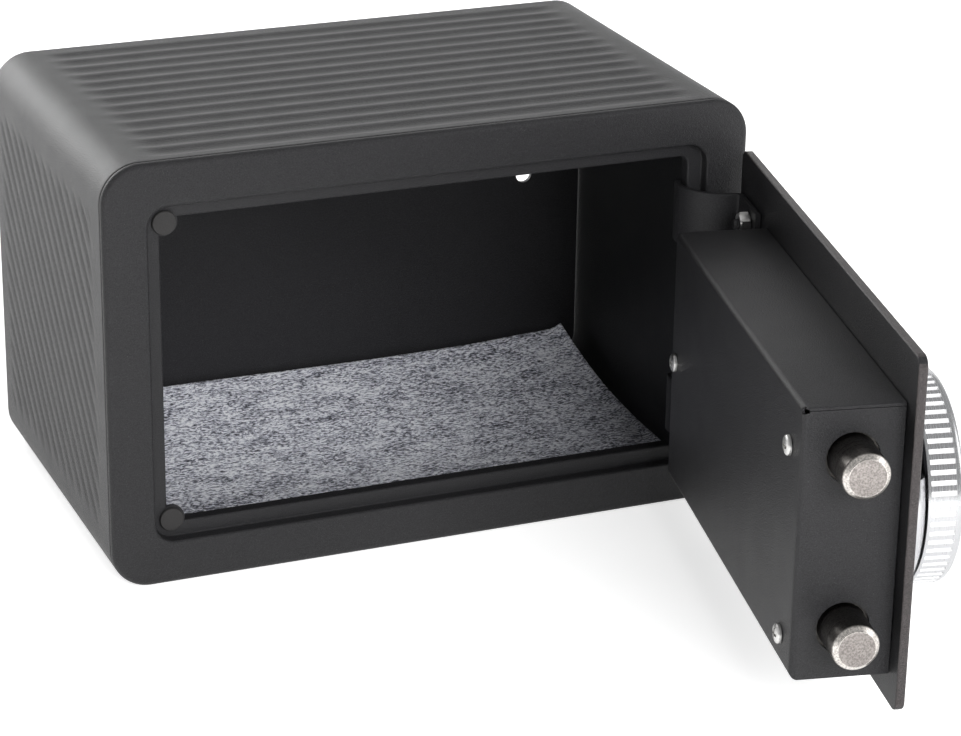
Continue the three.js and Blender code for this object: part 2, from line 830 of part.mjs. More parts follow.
// A tray with rounded bends, open towards the plate: two crossed prisms, one less wide and less deep inside.
function coverSkin(inset) {
  const radius = coverBendRadius - inset;
  const [left, right] = [coverLeft + inset, coverRight - inset];
  const [bottom, top] = [coverBottom + inset, coverTop - inset];
  const back = coverBack - inset;
  const front = inset > 0 ? coverFront - overrun : coverFront;
  const across = new THREE.Shape();
  across.moveTo(left, front);
  across.lineTo(right, front);
  across.absarc(right - radius, back - radius, radius, 0, Math.PI / 2);
  across.absarc(left + radius, back - radius, radius, Math.PI / 2, Math.PI);
  const upright = new THREE.Shape();
  upright.moveTo(-top, front);
  upright.lineTo(-bottom, front);
  upright.absarc(-bottom - radius, back - radius, radius, 0, Math.PI / 2);
  upright.absarc(-top + radius, back - radius, radius, Math.PI / 2, Math.PI);
  const upPrism = new THREE.ExtrudeGeometry(upright, {
    depth: right - left,
    bevelEnabled: false,
    curveSegments: bendSteps,
  });
  upPrism.rotateY(Math.PI / 2);
  upPrism.translate(left, 0, 0);
  return column(across, bottom, top, bendSteps).intersect(solid(upPrism));
}

const coverScrewPlaces = [[coverScrewX, upperScrewZ], [coverScrewX, lowerScrewZ], [postX, knobZ]];

// Lock cover: folded box with small relief notches at its four corners, bolt holes and screw holes.
function lockCover() {
  const notches = [coverLeft, coverRight].flatMap((x) => [coverBottom, coverTop].map((z) => block(
    [x - coverNotch, x + coverNotch],
    [coverBack - coverNotch, coverBack + overrun],
    [z - coverNotch, z + coverNotch],
  )));
  const boltHoles = boltLevels.map((z) => rod(
    'x',
    [0, boltDepth, z],
    boltRadius + boltHoleGap,
    coverLeft - overrun,
    coverLeft + coverSheet + overrun,
  ));
  const screwHoles = coverScrewPlaces.map(([x, z]) => rod(
    'y',
    [x, 0, z],
    coverScrewRadius + seatGap,
    coverInside - overrun,
    coverBack + overrun,
    smallSides,
  ));
  return cut(coverSkin(0), coverSkin(coverSheet), ...notches, ...boltHoles, ...screwHoles);
}

// Pan-head screw with a cross recess, its head outside the cover.
function coverScrew([x, z]) {
  const seat = coverBack + seatGap;
  const crown = seat + screwHeadHeight;
  const screw = turned('y', [x, 0, z], [
    [0, seat - coverScrewLength],
    [coverScrewRadius, seat - coverScrewLength],
    [coverScrewRadius, seat],
    [screwHeadRadius, seat],
    [screwHeadRadius, seat + screwHeadHeight * screwRimShare],
    [screwHeadRadius * screwCrownShare, crown - screwHeadHeight * screwRimShare / 2],
    [0, crown],
  ], smallSides);
  const cross = [[crossLength, crossWidth], [crossWidth, crossLength]].map(([wide, high]) => block(
    [x - wide / 2, x + wide / 2],
    [crown - crossDepth, crown + overrun],
    [z - high / 2, z + high / 2],
  ));
  return cut(screw, ...cross);
}

// Bracket behind the cover's end: foot on the plate, wall that guides the bolts, flange for two screws.
function boltGuideBracket() {
  const wallLeft = coverLeft + coverSheet + seatGap;
  const wallRight = wallLeft + guideSheet;
  const [bottom, top] = [coverBottom + guideMargin, coverTop - guideMargin];
  const flangeBack = coverInside - seatGap;
  const shape = outline([
    [wallLeft, coverFront],
    [wallLeft + guideFoot, coverFront],
    [wallLeft + guideFoot, coverFront + guideSheet],
    [wallRight, coverFront + guideSheet],
    [wallRight, flangeBack - guideSheet],
    [wallLeft + guideFlange, flangeBack - guideSheet],
    [wallLeft + guideFlange, flangeBack],
    [wallLeft + guideSheet / 2, flangeBack],
    [wallLeft, flangeBack - guideSheet / 2],
  ]);
  const boltHoles = boltLevels.map((z) => rod(
    'x',
    [0, boltDepth, z],
    boltRadius + seatGap,
    wallLeft - overrun,
    wallRight + overrun,
  ));
  const screwHoles = coverScrewPlaces.slice(0, 2).map(([x, z]) => rod(
    'y',
    [x, 0, z],
    coverScrewRadius + seatGap,
    flangeBack - guideSheet - overrun,
    flangeBack + overrun,
    smallSides,
  ));
  return cut(column(shape, bottom, top), ...boltHoles, ...screwHoles);
}

// Bolt: a chamfered bar with a spigot riveted over the carriage's tab.
function bolt(z) {
  const rivet = carriageLeft + carriageSheet + seatGap;
  return turned('x', [0, boltDepth, z], [
    [0, boltTip],
    [boltRadius - boltChamfer, boltTip],
    [boltRadius, boltTip + boltChamfer],
    [boltRadius, boltInner],
    [spigotRadius, boltInner],
    [spigotRadius, rivet],
    [rivetRadius, rivet],
    [rivetRadius, rivet + rivetHeight],
    [0, rivet + rivetHeight],
  ]);
}

// Slot with round ends, lying along x.
function slotAlongX(left, right, z, radius) {
  const through = [carriageFront - overrun, carriageBack + overrun];
  return join(
    block([left, right], through, [z - radius, z + radius]),
    rod('y', [left, 0, z], radius, ...through, smallSides),
    rod('y', [right, 0, z], radius, ...through, smallSides),
  );
}

// Carriage: a plate with two turned-up tabs for the bolts and an arm with two notches for the plunger.
function boltCarriage() {
  const right = knobX + carriagePastSpindle;
  const main = block(
    [carriageLeft, right],
    [carriageFront, carriageBack],
    [carriageBottom, carriageTop],
  );
  const tabs = boltLevels.map((z) => block(
    [carriageLeft, carriageLeft + carriageSheet],
    [carriageFront, carriageFront + carriageTabDepth],
    [z - carriageTabHeight / 2, z + carriageTabHeight / 2],
  ));
  const arm = block(
    [right - carriageSheet, right + carriageArmLength],
    [carriageFront, carriageBack],
    [armBottom, armTop],
  );
  const notchRadius = plungerRadius + fitGap;
  const notches = [solenoidX, solenoidX - boltTravel].map((x) => block(
    [x - notchRadius, x + notchRadius],
    [carriageFront - overrun, carriageBack + overrun],
    [plungerTip - plungerTravel - notchSpare, armTop + overrun],
  ));
  const spigotHoles = boltLevels.map((z) => rod(
    'x',
    [0, boltDepth, z],
    spigotRadius + seatGap,
    carriageLeft - overrun,
    carriageLeft + carriageSheet + overrun,
  ));
  const spindleSlot = slotAlongX(knobX - boltTravel, knobX, knobZ, spindleRadius + spindleSlotGap);
  const guideGap = guideNeckRadius + fitGap;
  const guideSlots = guidePostPlaces.map(([x, z]) => slotAlongX(x - boltTravel, x, z, guideGap));
  const half = toRadians(knobTurnDeg / 2);
  const pinX = knobX - camRadius * Math.sin(half);
  const pinReach = camPinRadius + camPinGap;
  const pinSlot = block(
    [pinX - pinReach, pinX + pinReach],
    [carriageFront - overrun, carriageBack + overrun],
    [knobZ + camRadius * Math.cos(half) - pinReach, knobZ + camRadius + pinReach],
  );
  return cut(join(main, ...tabs, arm), ...notches, ...spigotHoles, spindleSlot, ...guideSlots, pinSlot);
}

const coilBottom = solenoidBottom + solenoidSheet + seatGap;
const coilTop = solenoidTop - solenoidSheet - seatGap;
const boreRadius = plungerRadius + fitGap;

// Solenoid frame: a square-cornered U on its back, the lower wall bored for the plunger.
function solenoidFrame() {
  const [left, right] = [solenoidX - solenoidWidth / 2, solenoidX + solenoidWidth / 2];
  const back = coverFront + solenoidDepth;
  const whole = block([left, right], [coverFront, back], [solenoidBottom, solenoidTop]);
  const hollow = block(
    [left - overrun, right + overrun],
    [coverFront + solenoidSheet, back + overrun],
    [solenoidBottom + solenoidSheet, solenoidTop - solenoidSheet],
  );
  const bore = rod(
    'z',
    [solenoidX, solenoidMiddleY, 0],
    boreRadius,
    solenoidBottom - overrun,
    solenoidBottom + solenoidSheet + overrun,
    smallSides,
  );
  return cut(whole, hollow, bore);
}

// Coil bobbin: two flanges and the winding between them, bored for the plunger.
function solenoidCoil() {
  const centre = [solenoidX, solenoidMiddleY, 0];
  const winding = coilRadius - solenoidSheet / 2;
  return turned('z', centre, [
    [boreRadius, coilBottom],
    [coilRadius, coilBottom],
    [coilRadius, coilBottom + solenoidSheet],
    [winding, coilBottom + solenoidSheet],
    [winding, coilTop - solenoidSheet],
    [coilRadius, coilTop - solenoidSheet],
    [coilRadius, coilTop],
    [boreRadius, coilTop],
    [boreRadius, coilBottom],
  ]);
}

function solenoidPlunger() {
  return turned('z', [solenoidX, solenoidMiddleY, 0], [
    [0, plungerTip],
    [plungerRadius - plungerChamfer, plungerTip],
    [plungerRadius, plungerTip + plungerChamfer],
    [plungerRadius, plungerTop],
    [0, plungerTop],
  ]);
}

// Coil spring above the plunger: a round wire carried along a helix, closed by a flat face at each end.
function plungerSpring() {
  const bottom = plungerTop + seatGap + springWireRadius;
  const rings = [];
  for (let step = 0; step <= springTurns * springStepsPerTurn; step += 1) {
    const turn = step / springStepsPerTurn;
    const angle = turn * 2 * Math.PI;
    for (let side = 0; side < springWireSides; side += 1) {
      const round = side / springWireSides * 2 * Math.PI;
      const radius = springRadius + springWireRadius * Math.cos(round);
      const x = solenoidX + radius * Math.cos(angle);
      const y = solenoidMiddleY + radius * Math.sin(angle);
      rings.push(x, y, bottom + turn * springPitch + springWireRadius * Math.sin(round));
    }
  }
  const index = [];
  const ringCount = springTurns * springStepsPerTurn;
  for (let ring = 0; ring < ringCount; ring += 1) {
    for (let side = 0; side < springWireSides; side += 1) {
      const next = (side + 1) % springWireSides;
      const [a, b] = [ring * springWireSides + side, ring * springWireSides + next];
      index.push(a, b, a + springWireSides, b, b + springWireSides, a + springWireSides);
    }
  }
  const lastRing = ringCount * springWireSides;
  for (let side = 1; side < springWireSides - 1; side += 1) {
    index.push(0, side + 1, side);
    index.push(lastRing, lastRing + side, lastRing + side + 1);
  }
  const geometry = new THREE.BufferGeometry();
  geometry.setAttribute('position', new THREE.Float32BufferAttribute(rings, 3));
  geometry.setIndex(index);
  return solid(geometry);
}

// Lock board on four feet below the carriage's arm, with a relay and a terminal block.
function lockBoard() {
  const left = solenoidX - solenoidWidth / 2;
  const right = left + boardWidth;
  const bottom = coverBottom + coverSheet + boardAboveCoverEdge;
  const top = armBottom - boardBelowArm;
  const height = top - bottom;
  const front = coverFront + boardFootHeight;
  const back = front + boardThickness;
  const board = block([left, right], [front, back], [bottom, top]);
  const relay = block(
    [left + boardFootInset, left + boardFootInset + boardWidth * relayWidthShare],
    [front, back + relayHeight],
    [top - boardFootInset - height * relayHeightShare, top - boardFootInset],
  );
  const terminals = block(
    [left + 2 * boardFootInset, right - 2 * boardFootInset],
    [front, back + relayHeight],
    [bottom + boardThickness, bottom + boardThickness + height * terminalHeightShare],
  );
  const feet = [left + boardFootInset, right - boardFootInset].flatMap((x) => (
    [bottom + boardFootInset, top - boardFootInset].map((z) => (
      rod('y', [x, 0, z], boardFootRadius, coverFront, front + boardThickness / 2, smallSides)
    ))
  ));
  return join(board, relay, terminals, ...feet);
}

const knobCentre = [knobX, 0, knobZ];

// Knob base: a thick disc with a chamfered face, opened in the middle and cut flat across its upper part.
function knobBase() {
  const disc = turned('y', knobCentre, [
    [neckRadius + seatGap, baseBack],
    [baseRadius, baseBack],
    [baseRadius, baseFace + baseChamfer],
    [baseRadius - baseChamfer, baseFace],
    [neckRadius + seatGap, baseFace],
    [neckRadius + seatGap, baseBack],
  ], largeSides);
  const flat = block(
    [knobX - baseRadius - overrun, knobX + baseRadius + overrun],
    [baseFace - overrun, 0],
    [knobZ + baseFlatHeight, knobZ + baseRadius + overrun],
  );
  return cut(disc, flat);
}

// Neck: the round block inside the base, bored for the bush and drilled for its two screws.
function knobNeck() {
  const neck = pipe('y', knobCentre, neckRadius, bushRadius + seatGap, baseFace, baseBack, largeSides);
  const holes = [-1, 1].map((side) => rod(
    'y',
    [knobX + side * neckScrewFromAxis, 0, knobZ],
    neckScrewRadius + seatGap,
    plateThickness - neckScrewLength,
    overrun,
    smallSides,
  ));
  return cut(neck, ...holes);
}

function baseScrew(side) {
  const seat = plateThickness + seatGap;
  return turned('y', [knobX + side * neckScrewFromAxis, 0, knobZ], [
    [0, seat - neckScrewLength],
    [neckScrewRadius, seat - neckScrewLength],
    [neckScrewRadius, seat],
    [2 * neckScrewRadius, seat],
    [2 * neckScrewRadius, seat + neckScrewRadius],
    [0, seat + neckScrewRadius],
  ], smallSides);
}

// Bush: a flanged sleeve through the plate, in which the spindle turns.
function spindleBush() {
  const bore = spindleRadius + seatGap;
  const flangeFront = plateThickness + seatGap;
  return turned('y', knobCentre, [
    [bore, baseFace],
    [bushRadius, baseFace],
    [bushRadius, flangeFront],
    [bushFlangeRadius, flangeFront],
    [bushFlangeRadius, flangeFront + bushFlange],
    [bore, flangeFront + bushFlange],
    [bore, baseFace],
  ]);
}

// Grip ring with pockets round its rim.
function knobRing() {
  const side = 2 * Math.PI * ringOuterRadius / ringSlotCount;
  const ring = turned('y', knobCentre, [
    [ringInnerRadius, ringBack],
    [ringOuterRadius - ringBackRound, ringBack],
    [ringOuterRadius, ringBack - ringBackRound],
    [ringOuterRadius, ringFace + ringFrontRound],
    [ringOuterRadius - ringFrontRound * ringRoundShare, ringFace + ringFrontRound * ringRoundShare],
    [ringOuterRadius - ringFrontRound, ringFace],
    [ringInnerRadius, ringFace],
    [ringInnerRadius, ringBack],
  ], ringSlotCount);
  const pockets = [];
  for (let slot = 0; slot < ringSlotCount; slot += 1) {
    const pocket = new THREE.BoxGeometry(
      ringSlotWidth,
      ringDepth - ringSlotBackMargin - ringFrontRound,
      2 * side,
    );
    const middle = (ringBack - ringSlotBackMargin + ringFace + ringFrontRound) / 2;
    pocket.translate(0, middle, ringOuterRadius * Math.cos(Math.PI / ringSlotCount) - ringSlotDepth + side);
    pocket.rotateY((2 * slot + 1) * Math.PI / ringSlotCount);
    pocket.translate(knobX, 0, knobZ);
    pockets.push(solid(pocket));
  }
  return cut(ring, join(...pockets));
}

// Head: a shallow cup inside the ring, screwed to the spindle's flange.
function knobHead() {
  return turned('y', knobCentre, [
    [spindleRadius + seatGap, headBack],
    [headRadius, headBack],
    [headRadius, faceFront],
    [headBore, faceFront],
    [headBore, headFloor],
    [spindleRadius + seatGap, headFloor],
    [spindleRadius + seatGap, headBack],
  ], mediumSides);
}

const onKnob = (radius, degrees) => [
  knobX + radius * Math.sin(toRadians(degrees)),
  0,
  knobZ + radius * Math.cos(toRadians(degrees)),
];
const keyPlaces = Array.from({ length: keyCount }, (_, key) => onKnob(keyCircleRadius, key / keyCount * 360));

// The lamp window's outline: a bar with round ends above the lock cylinder.
function lampOutline(gap) {
  const [reach, radius] = [lampWidth / 2 + gap, lampHeight / 2 + gap];
  const middle = knobZ + lampFromAxis;
  return roundedRectangle(knobX - reach, knobX + reach, middle - radius, middle + radius, radius);
}

// Keypad face: a disc with a hole for each key, one for the lamp window and one for the lock cylinder.
function keypadFace() {
  const outer = headBore - seatGap;
  const disc = pipe('y', knobCentre, outer, cylinderRadius + seatGap, faceFront, faceBack, mediumSides);
  const through = [faceFront - overrun, faceBack + overrun];
  const keyHoles = keyPlaces.map((place) => rod('y', place, keyRadius + seatGap, ...through, smallSides));
  return cut(disc, ...keyHoles, plate(lampOutline(seatGap), ...through, bendSteps));
}

function keyButton(place) {
  const front = faceFront - keyProud;
  return turned('y', place, [
    [0, front],
    [keyRadius - keyChamfer, front],
    [keyRadius, front + keyChamfer],
    [keyRadius, front + keyThickness],
    [0, front + keyThickness],
  ], smallSides);
}

function lampLens() {
  return plate(lampOutline(0), faceFront - seatGap, faceBack - seatGap, bendSteps);
}

function keypadBoard() {
  const outer = headBore - seatGap;
  return pipe('y', knobCentre, outer, cylinderRadius + fitGap, keyBoardFront, keyBoardBack, mediumSides);
}

// Each battery lies along a side of a triangle round the spindle.
const batteryTurns = Array.from({ length: batteryCount }, (_, battery) => 2 * Math.PI * battery / batteryCount);

function batteryAt(turn) {
  const nub = batteryRadius / 2;
  const half = batteryLength / 2;
  const profile = [
    [0, -half],
    [batteryRadius, -half],
    [batteryRadius, half - nub / 2],
    [nub, half - nub / 2],
    [nub, half],
    [0, half],
  ].map(([radius, along]) => new THREE.Vector2(radius, along));
  const geometry = new THREE.LatheGeometry(profile, smallSides);
  geometry.rotateZ(-Math.PI / 2);
  geometry.translate(0, batteryY, batteryFromAxis);
  geometry.rotateY(turn);
  geometry.translate(knobX, 0, knobZ);
  return solid(geometry);
}

// Tray: a thin disc with a window under each battery and a wall at each of its ends.
function batteryTray() {
  const back = headFloor - seatGap;
  const front = back - trayThickness;
  const outer = headBore - seatGap;
  const disc = pipe('y', knobCentre, outer, spindleFlangeRadius + seatGap, front, back, mediumSides);
  const turnedBlock = (turn, x, y, z) => {
    const geometry = new THREE.BoxGeometry(x[1] - x[0], y[1] - y[0], z[1] - z[0]);
    geometry.translate((x[0] + x[1]) / 2, (y[0] + y[1]) / 2, (z[0] + z[1]) / 2);
    geometry.rotateY(turn);
    geometry.translate(knobX, 0, knobZ);
    return solid(geometry);
  };
  const inner = batteryLength / 2 + seatGap;
  const halfWindow = Math.sqrt(batteryRadius ** 2 - (batteryRadius - trayThickness) ** 2) + seatGap;
  const windows = batteryTurns.map((turn) => turnedBlock(
    turn,
    [-inner, inner],
    [front - overrun, back + overrun],
    [batteryFromAxis - halfWindow, batteryFromAxis + halfWindow],
  ));
  const walls = batteryTurns.flatMap((turn) => [-1, 1].map((side) => turnedBlock(
    turn,
    side > 0 ? [inner, inner + trayEndWall] : [-inner - trayEndWall, -inner],
    [back - trayEndHeight, back],
    [batteryFromAxis - batteryRadius, batteryFromAxis - batteryRadius + trayEndWallWidth],
  )));
  return join(cut(disc, ...windows), ...walls);
}

// Hollow spindle with a flange in the head, through the bush to the cam.
function spindle() {
  const end = clipFront + clipThickness + spindleEnd;
  return turned('y', knobCentre, [
    [spindleBore, spindleHead],
    [spindleFlangeRadius, spindleHead],
    [spindleFlangeRadius, spindleHead + spindleFlange],
    [spindleRadius, spindleHead + spindleFlange],
    [spindleRadius, end],
    [spindleBore, end],
    [spindleBore, spindleHead],
  ]);
}

// Cam: a lever on the spindle whose pin reaches through the carriage.
function camLever() {
  const angle = -knobTurnDeg / 2;
  const pinPlace = onKnob(camRadius, angle);
  const hub = rod('y', knobCentre, camHubRadius, camFront, camBack);
  const end = rod('y', pinPlace, camEndRadius, camFront, camBack);
  const arm = new THREE.BoxGeometry(2 * camEndRadius, camThickness, camRadius);
  arm.translate(0, (camFront + camBack) / 2, camRadius / 2);
  arm.rotateY(toRadians(angle));
  arm.translate(knobX, 0, knobZ);
  const pin = rod('y', pinPlace, camPinRadius, camFront - camPinLength, camFront + camThickness / 2);
  const bore = rod('y', knobCentre, spindleRadius + seatGap, camFront - overrun, camBack + overrun);
  return cut(join(hub, end, solid(arm), pin), bore);
}

function spindleClip() {
  return pipe('y', knobCentre, clipRadius, spindleRadius + seatGap, clipFront, clipFront + clipThickness);
}

// Emergency lock: a plain housing and a plug with a keyway and a flat tail through the hollow spindle.
function keyCylinder() {
  const back = spindleHead - seatGap;
  return pipe('y', knobCentre, cylinderRadius, plugRadius + seatGap, faceFront, back);
}
function keyPlug() {
  const back = spindleHead - seatGap;
  const plug = rod('y', knobCentre, plugRadius, faceFront - seatGap, back);
  const keyway = block(
    [knobX - plugSlotWidth / 2, knobX + plugSlotWidth / 2],
    [faceFront - overrun, faceFront + plugSlotDepth],
    [knobZ - plugSlotHeight / 2, knobZ + plugSlotHeight / 2],
  );
  const tail = block(
    [knobX - tailThickness / 2, knobX + tailThickness / 2],
    [back - plugSlotDepth, clipFront + clipThickness],
    [knobZ - tailWidth / 2, knobZ + tailWidth / 2],
  );
  return join(cut(plug, keyway), tail);
}

addPiece(safeBody, 'body_wrapper', bodyWrapper(), blackPaint());
addPiece(safeBody, 'back_panel', backPanel(), blackPaint());
addPiece(safeBody, 'front_frame', frontFrame(), blackPaint());
addPiece(safeBody, 'floor_mat', floorMat(), felt());
addPiece(safeBody, 'bumper_pad_upper', bumperPad(padLevels.upper), rubber());
addPiece(safeBody, 'bumper_pad_lower', bumperPad(padLevels.lower), rubber());
addPiece(safeBody, 'hinge_bracket_upper', hingeBracket(upperStrapBottom), blackPaint());
addPiece(safeBody, 'hinge_bracket_lower', hingeBracket(lowerStrapBottom), blackPaint());
addPiece(safeBody, 'hinge_pin_upper', hingePin(upperStrapBottom), zincSteel());
addPiece(safeBody, 'hinge_pin_lower', hingePin(lowerStrapBottom), zincSteel());

addPiece(closedDoor, 'door_plate', doorPlate(), blackPaint());
addPiece(closedDoor, 'hinge_strap_upper', hingeStrap(upperStrapBottom, studLevels.upper), blackPaint());
addPiece(closedDoor, 'hinge_strap_lower', hingeStrap(lowerStrapBottom, studLevels.lower), blackPaint());
addPiece(closedDoor, 'hinge_nut_upper', hingeNut(studLevels.upper), zincSteel());
addPiece(closedDoor, 'hinge_nut_lower', hingeNut(studLevels.lower), zincSteel());
addPiece(closedDoor, 'lock_cover', lockCover(), blackPaint());
coverScrewPlaces.forEach((place, screw) => {
  addPiece(closedDoor, `cover_screw_${screw + 1}`, coverScrew(place), zincSteel());
});
addPiece(closedDoor, 'bolt_guide_bracket', boltGuideBracket(), zincSteel());
addPiece(closedDoor, 'bolt_carriage', boltCarriage(), zincSteel());
addPiece(closedDoor, 'bolt_upper', bolt(boltLevels[0]), brightSteel());
addPiece(closedDoor, 'bolt_lower', bolt(boltLevels[1]), brightSteel());
addPiece(closedDoor, 'solenoid_frame', solenoidFrame(), zincSteel());
addPiece(closedDoor, 'solenoid_coil', solenoidCoil(), copper());
addPiece(closedDoor, 'solenoid_plunger', solenoidPlunger(), brightSteel());
addPiece(closedDoor, 'plunger_spring', plungerSpring(), brightSteel());
addPiece(closedDoor, 'lock_board', lockBoard(), circuitGreen());
addPiece(closedDoor, 'knob_base', knobBase(), satinSilver());
addPiece(closedDoor, 'knob_neck', knobNeck(), blackPlastic());
addPiece(closedDoor, 'base_screw_left', baseScrew(-1), zincSteel());
addPiece(closedDoor, 'base_screw_right', baseScrew(1), zincSteel());
addPiece(closedDoor, 'spindle_bush', spindleBush(), brass());
addPiece(closedDoor, 'knob_ring', knobRing(), satinSilver());
addPiece(closedDoor, 'knob_head', knobHead(), blackPlastic());
addPiece(closedDoor, 'keypad_face', keypadFace(), blackPlastic());
keyPlaces.forEach((place, key) => addPiece(closedDoor, `key_${key + 1}`, keyButton(place), greyPlastic()));
addPiece(closedDoor, 'lamp_lens', lampLens(), lampGreen());
addPiece(closedDoor, 'keypad_board', keypadBoard(), circuitGreen());
addPiece(closedDoor, 'battery_tray', batteryTray(), blackPlastic());
batteryTurns.forEach((turn, battery) => {
  addPiece(closedDoor, `battery_${battery + 1}`, batteryAt(turn), batteryWrap());
});
addPiece(closedDoor, 'spindle', spindle(), zincSteel());
addPiece(closedDoor, 'spindle_clip', spindleClip(), zincSteel());
addPiece(closedDoor, 'cam', camLever(), zincSteel());
addPiece(closedDoor, 'key_cylinder', keyCylinder(), zincSteel());
addPiece(closedDoor, 'key_plug', keyPlug(), brass());

// The door is drawn closed and swung open about its pivot.
closedDoor.position.set(-pivotX, -pivotDepth, 0);
const swungDoor = new THREE.Group();
swungDoor.position.set(pivotX, pivotDepth, 0);
swungDoor.rotation.z = toRadians(doorOpenDeg);
swungDoor.add(closedDoor);

const safe = new THREE.Group();
safe.position.y = -bodyDepth / 2;
safe.add(safeBody, swungDoor);

export default safe;
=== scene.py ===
# %% [markdown]
# # A small steel safe, standing with its door open
# The model is a box of folded sheet steel with pressed ribs, a felt floor, and a door that carries a lock
# box with two round bolts on its inside and a silver knob on its outside. A finished CAD model gives every
# size and every joint. This script loads it as a fixed frame, lays a finely shaped skin over each part that
# shows, and gives every part its finish.

# %% Open the frame
import math

import bmesh
import bpy
import numpy as np
from mathutils import Matrix, Vector


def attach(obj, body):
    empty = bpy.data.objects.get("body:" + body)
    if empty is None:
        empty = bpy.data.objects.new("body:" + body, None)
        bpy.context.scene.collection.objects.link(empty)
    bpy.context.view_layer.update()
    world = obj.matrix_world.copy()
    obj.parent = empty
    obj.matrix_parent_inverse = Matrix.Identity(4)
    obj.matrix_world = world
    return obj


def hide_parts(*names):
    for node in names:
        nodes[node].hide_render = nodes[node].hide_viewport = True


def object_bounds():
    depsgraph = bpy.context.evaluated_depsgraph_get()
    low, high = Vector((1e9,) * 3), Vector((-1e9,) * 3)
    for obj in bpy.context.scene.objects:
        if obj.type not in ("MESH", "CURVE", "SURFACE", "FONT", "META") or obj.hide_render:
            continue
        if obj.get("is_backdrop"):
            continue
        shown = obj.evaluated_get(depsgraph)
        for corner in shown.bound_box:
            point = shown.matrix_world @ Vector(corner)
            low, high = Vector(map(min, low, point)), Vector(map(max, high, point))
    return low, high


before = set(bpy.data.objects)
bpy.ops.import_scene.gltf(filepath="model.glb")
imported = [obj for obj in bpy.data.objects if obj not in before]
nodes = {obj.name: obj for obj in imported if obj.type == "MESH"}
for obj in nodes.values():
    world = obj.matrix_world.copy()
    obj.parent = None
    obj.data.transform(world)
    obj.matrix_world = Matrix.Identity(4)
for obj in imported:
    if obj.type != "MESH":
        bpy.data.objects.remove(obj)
cad_box = [list(corner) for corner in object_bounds()]
scene = bpy.context.scene

# %% [markdown]
# ## The camera
# The photograph was taken from the left of the front, a little above the lid, with a long lens. The place
# and the three directions below were worked out from the edges of the box. A camera looks along its own -Z,
# so the columns of its matrix are where its right, its up and its back point.

# %% Set the camera
camera = bpy.data.objects.new("camera", bpy.data.cameras.new("camera"))
scene.collection.objects.link(camera)
camera.data.sensor_width = 36
camera.data.lens = 117.72
camera.data.clip_start = 0.05
camera.data.clip_end = 20
right = Vector((0.923953, -0.382274, 0.013291))
up = Vector((0.131158, 0.349266, 0.927799))
back = Vector((-0.359315, -0.855500, 0.372844))
stand = Vector((-0.497245, -1.329157, 0.622721))
camera.matrix_world = Matrix.Translation(stand) @ Matrix((right, up, back)).transposed().to_4x4()
scene.camera = camera
print(f"camera {stand.length:.2f} m from the middle of the base")

# %% [markdown]
# ## Where the pieces stand
# The part is drawn in millimetres with its door closed, x to the right, depth back from the front plane, z
# up. Door pieces are then swung about the hinge pivot by the angle at which the door stands open. Drawn
# closed, they keep their edges along the axes, so their numbers stay easy to read.

# %% The swing of the door
BODY_WIDTH, BODY_DEPTH, BODY_HEIGHT, CORNER = 310, 185, 200, 18
PIVOT_X, PIVOT_DEPTH = 147, 9.5
OPEN_ANGLE = math.radians(78)


def standing(points):
    """Body points: depth is counted from the middle of the body, and millimetres become metres."""
    return (points - [0, BODY_DEPTH / 2, 0]) / 1000


def turned_plan(across, behind, angle):
    """A plan offset from the pivot, turned about it by the angle, given back as x and depth."""
    cos, sin = math.cos(angle), math.sin(angle)
    return PIVOT_X + across * cos - behind * sin, PIVOT_DEPTH + across * sin + behind * cos


def swung(points):
    """Door points are turned about the pivot by the open angle, then placed as body points."""
    x, depth = turned_plan(points[:, 0] - PIVOT_X, points[:, 1] - PIVOT_DEPTH, OPEN_ANGLE)
    return standing(np.stack([x, depth, points[:, 2]], -1))


def closed_centres(mesh):
    """The middle of each face of a door piece, in millimetres, turned back to the closed door."""
    middle = np.zeros(3 * len(mesh.polygons))
    mesh.polygons.foreach_get("center", middle)
    across, behind, level = (middle.reshape(-1, 3) * 1000 + [-PIVOT_X, BODY_DEPTH / 2 - PIVOT_DEPTH, 0]).T
    return *turned_plan(across, behind, -OPEN_ANGLE), level


print("door stands open by", round(math.degrees(OPEN_ANGLE)), "degrees")

# %% [markdown]
# ## From numbers to a mesh
# Nearly every piece here is a grid of points: one row for each point of a profile, one column for each
# place along a path or round an axis. Quads join the neighbours. A row may shrink to one point, as at the
# pole of a lathed shape, so doubles are merged afterwards, and then the faces are turned outwards.

# %% Grids into meshes
def skin(grid, round_columns=True, round_rows=False, ends=(False, False)):
    """Quads between neighbouring grid points. Columns and rows may close on themselves, and ends caps the
    first and the last row. Also returns each point's way along its column, the sum of the steps from row to
    row, for finishes that follow it."""
    rows, columns = grid.shape[:2]
    number = np.arange(rows * columns).reshape(rows, columns)
    if round_columns:
        number = np.hstack([number, number[:, :1]])
    if round_rows:
        number = np.vstack([number, number[:1]])
    quads = np.stack([number[:-1, :-1], number[:-1, 1:], number[1:, 1:], number[1:, :-1]], -1).reshape(-1, 4)
    faces = [quads]
    if ends[0]:
        faces.append(number[:1, :columns][:, ::-1])
    if ends[1]:
        faces.append(number[-1:, :columns])
    steps = np.linalg.norm(np.diff(grid, axis=0), axis=-1)
    along = np.vstack([np.zeros((1, columns)), np.cumsum(steps, axis=0)])
    return grid.reshape(-1, 3), faces, along.ravel()


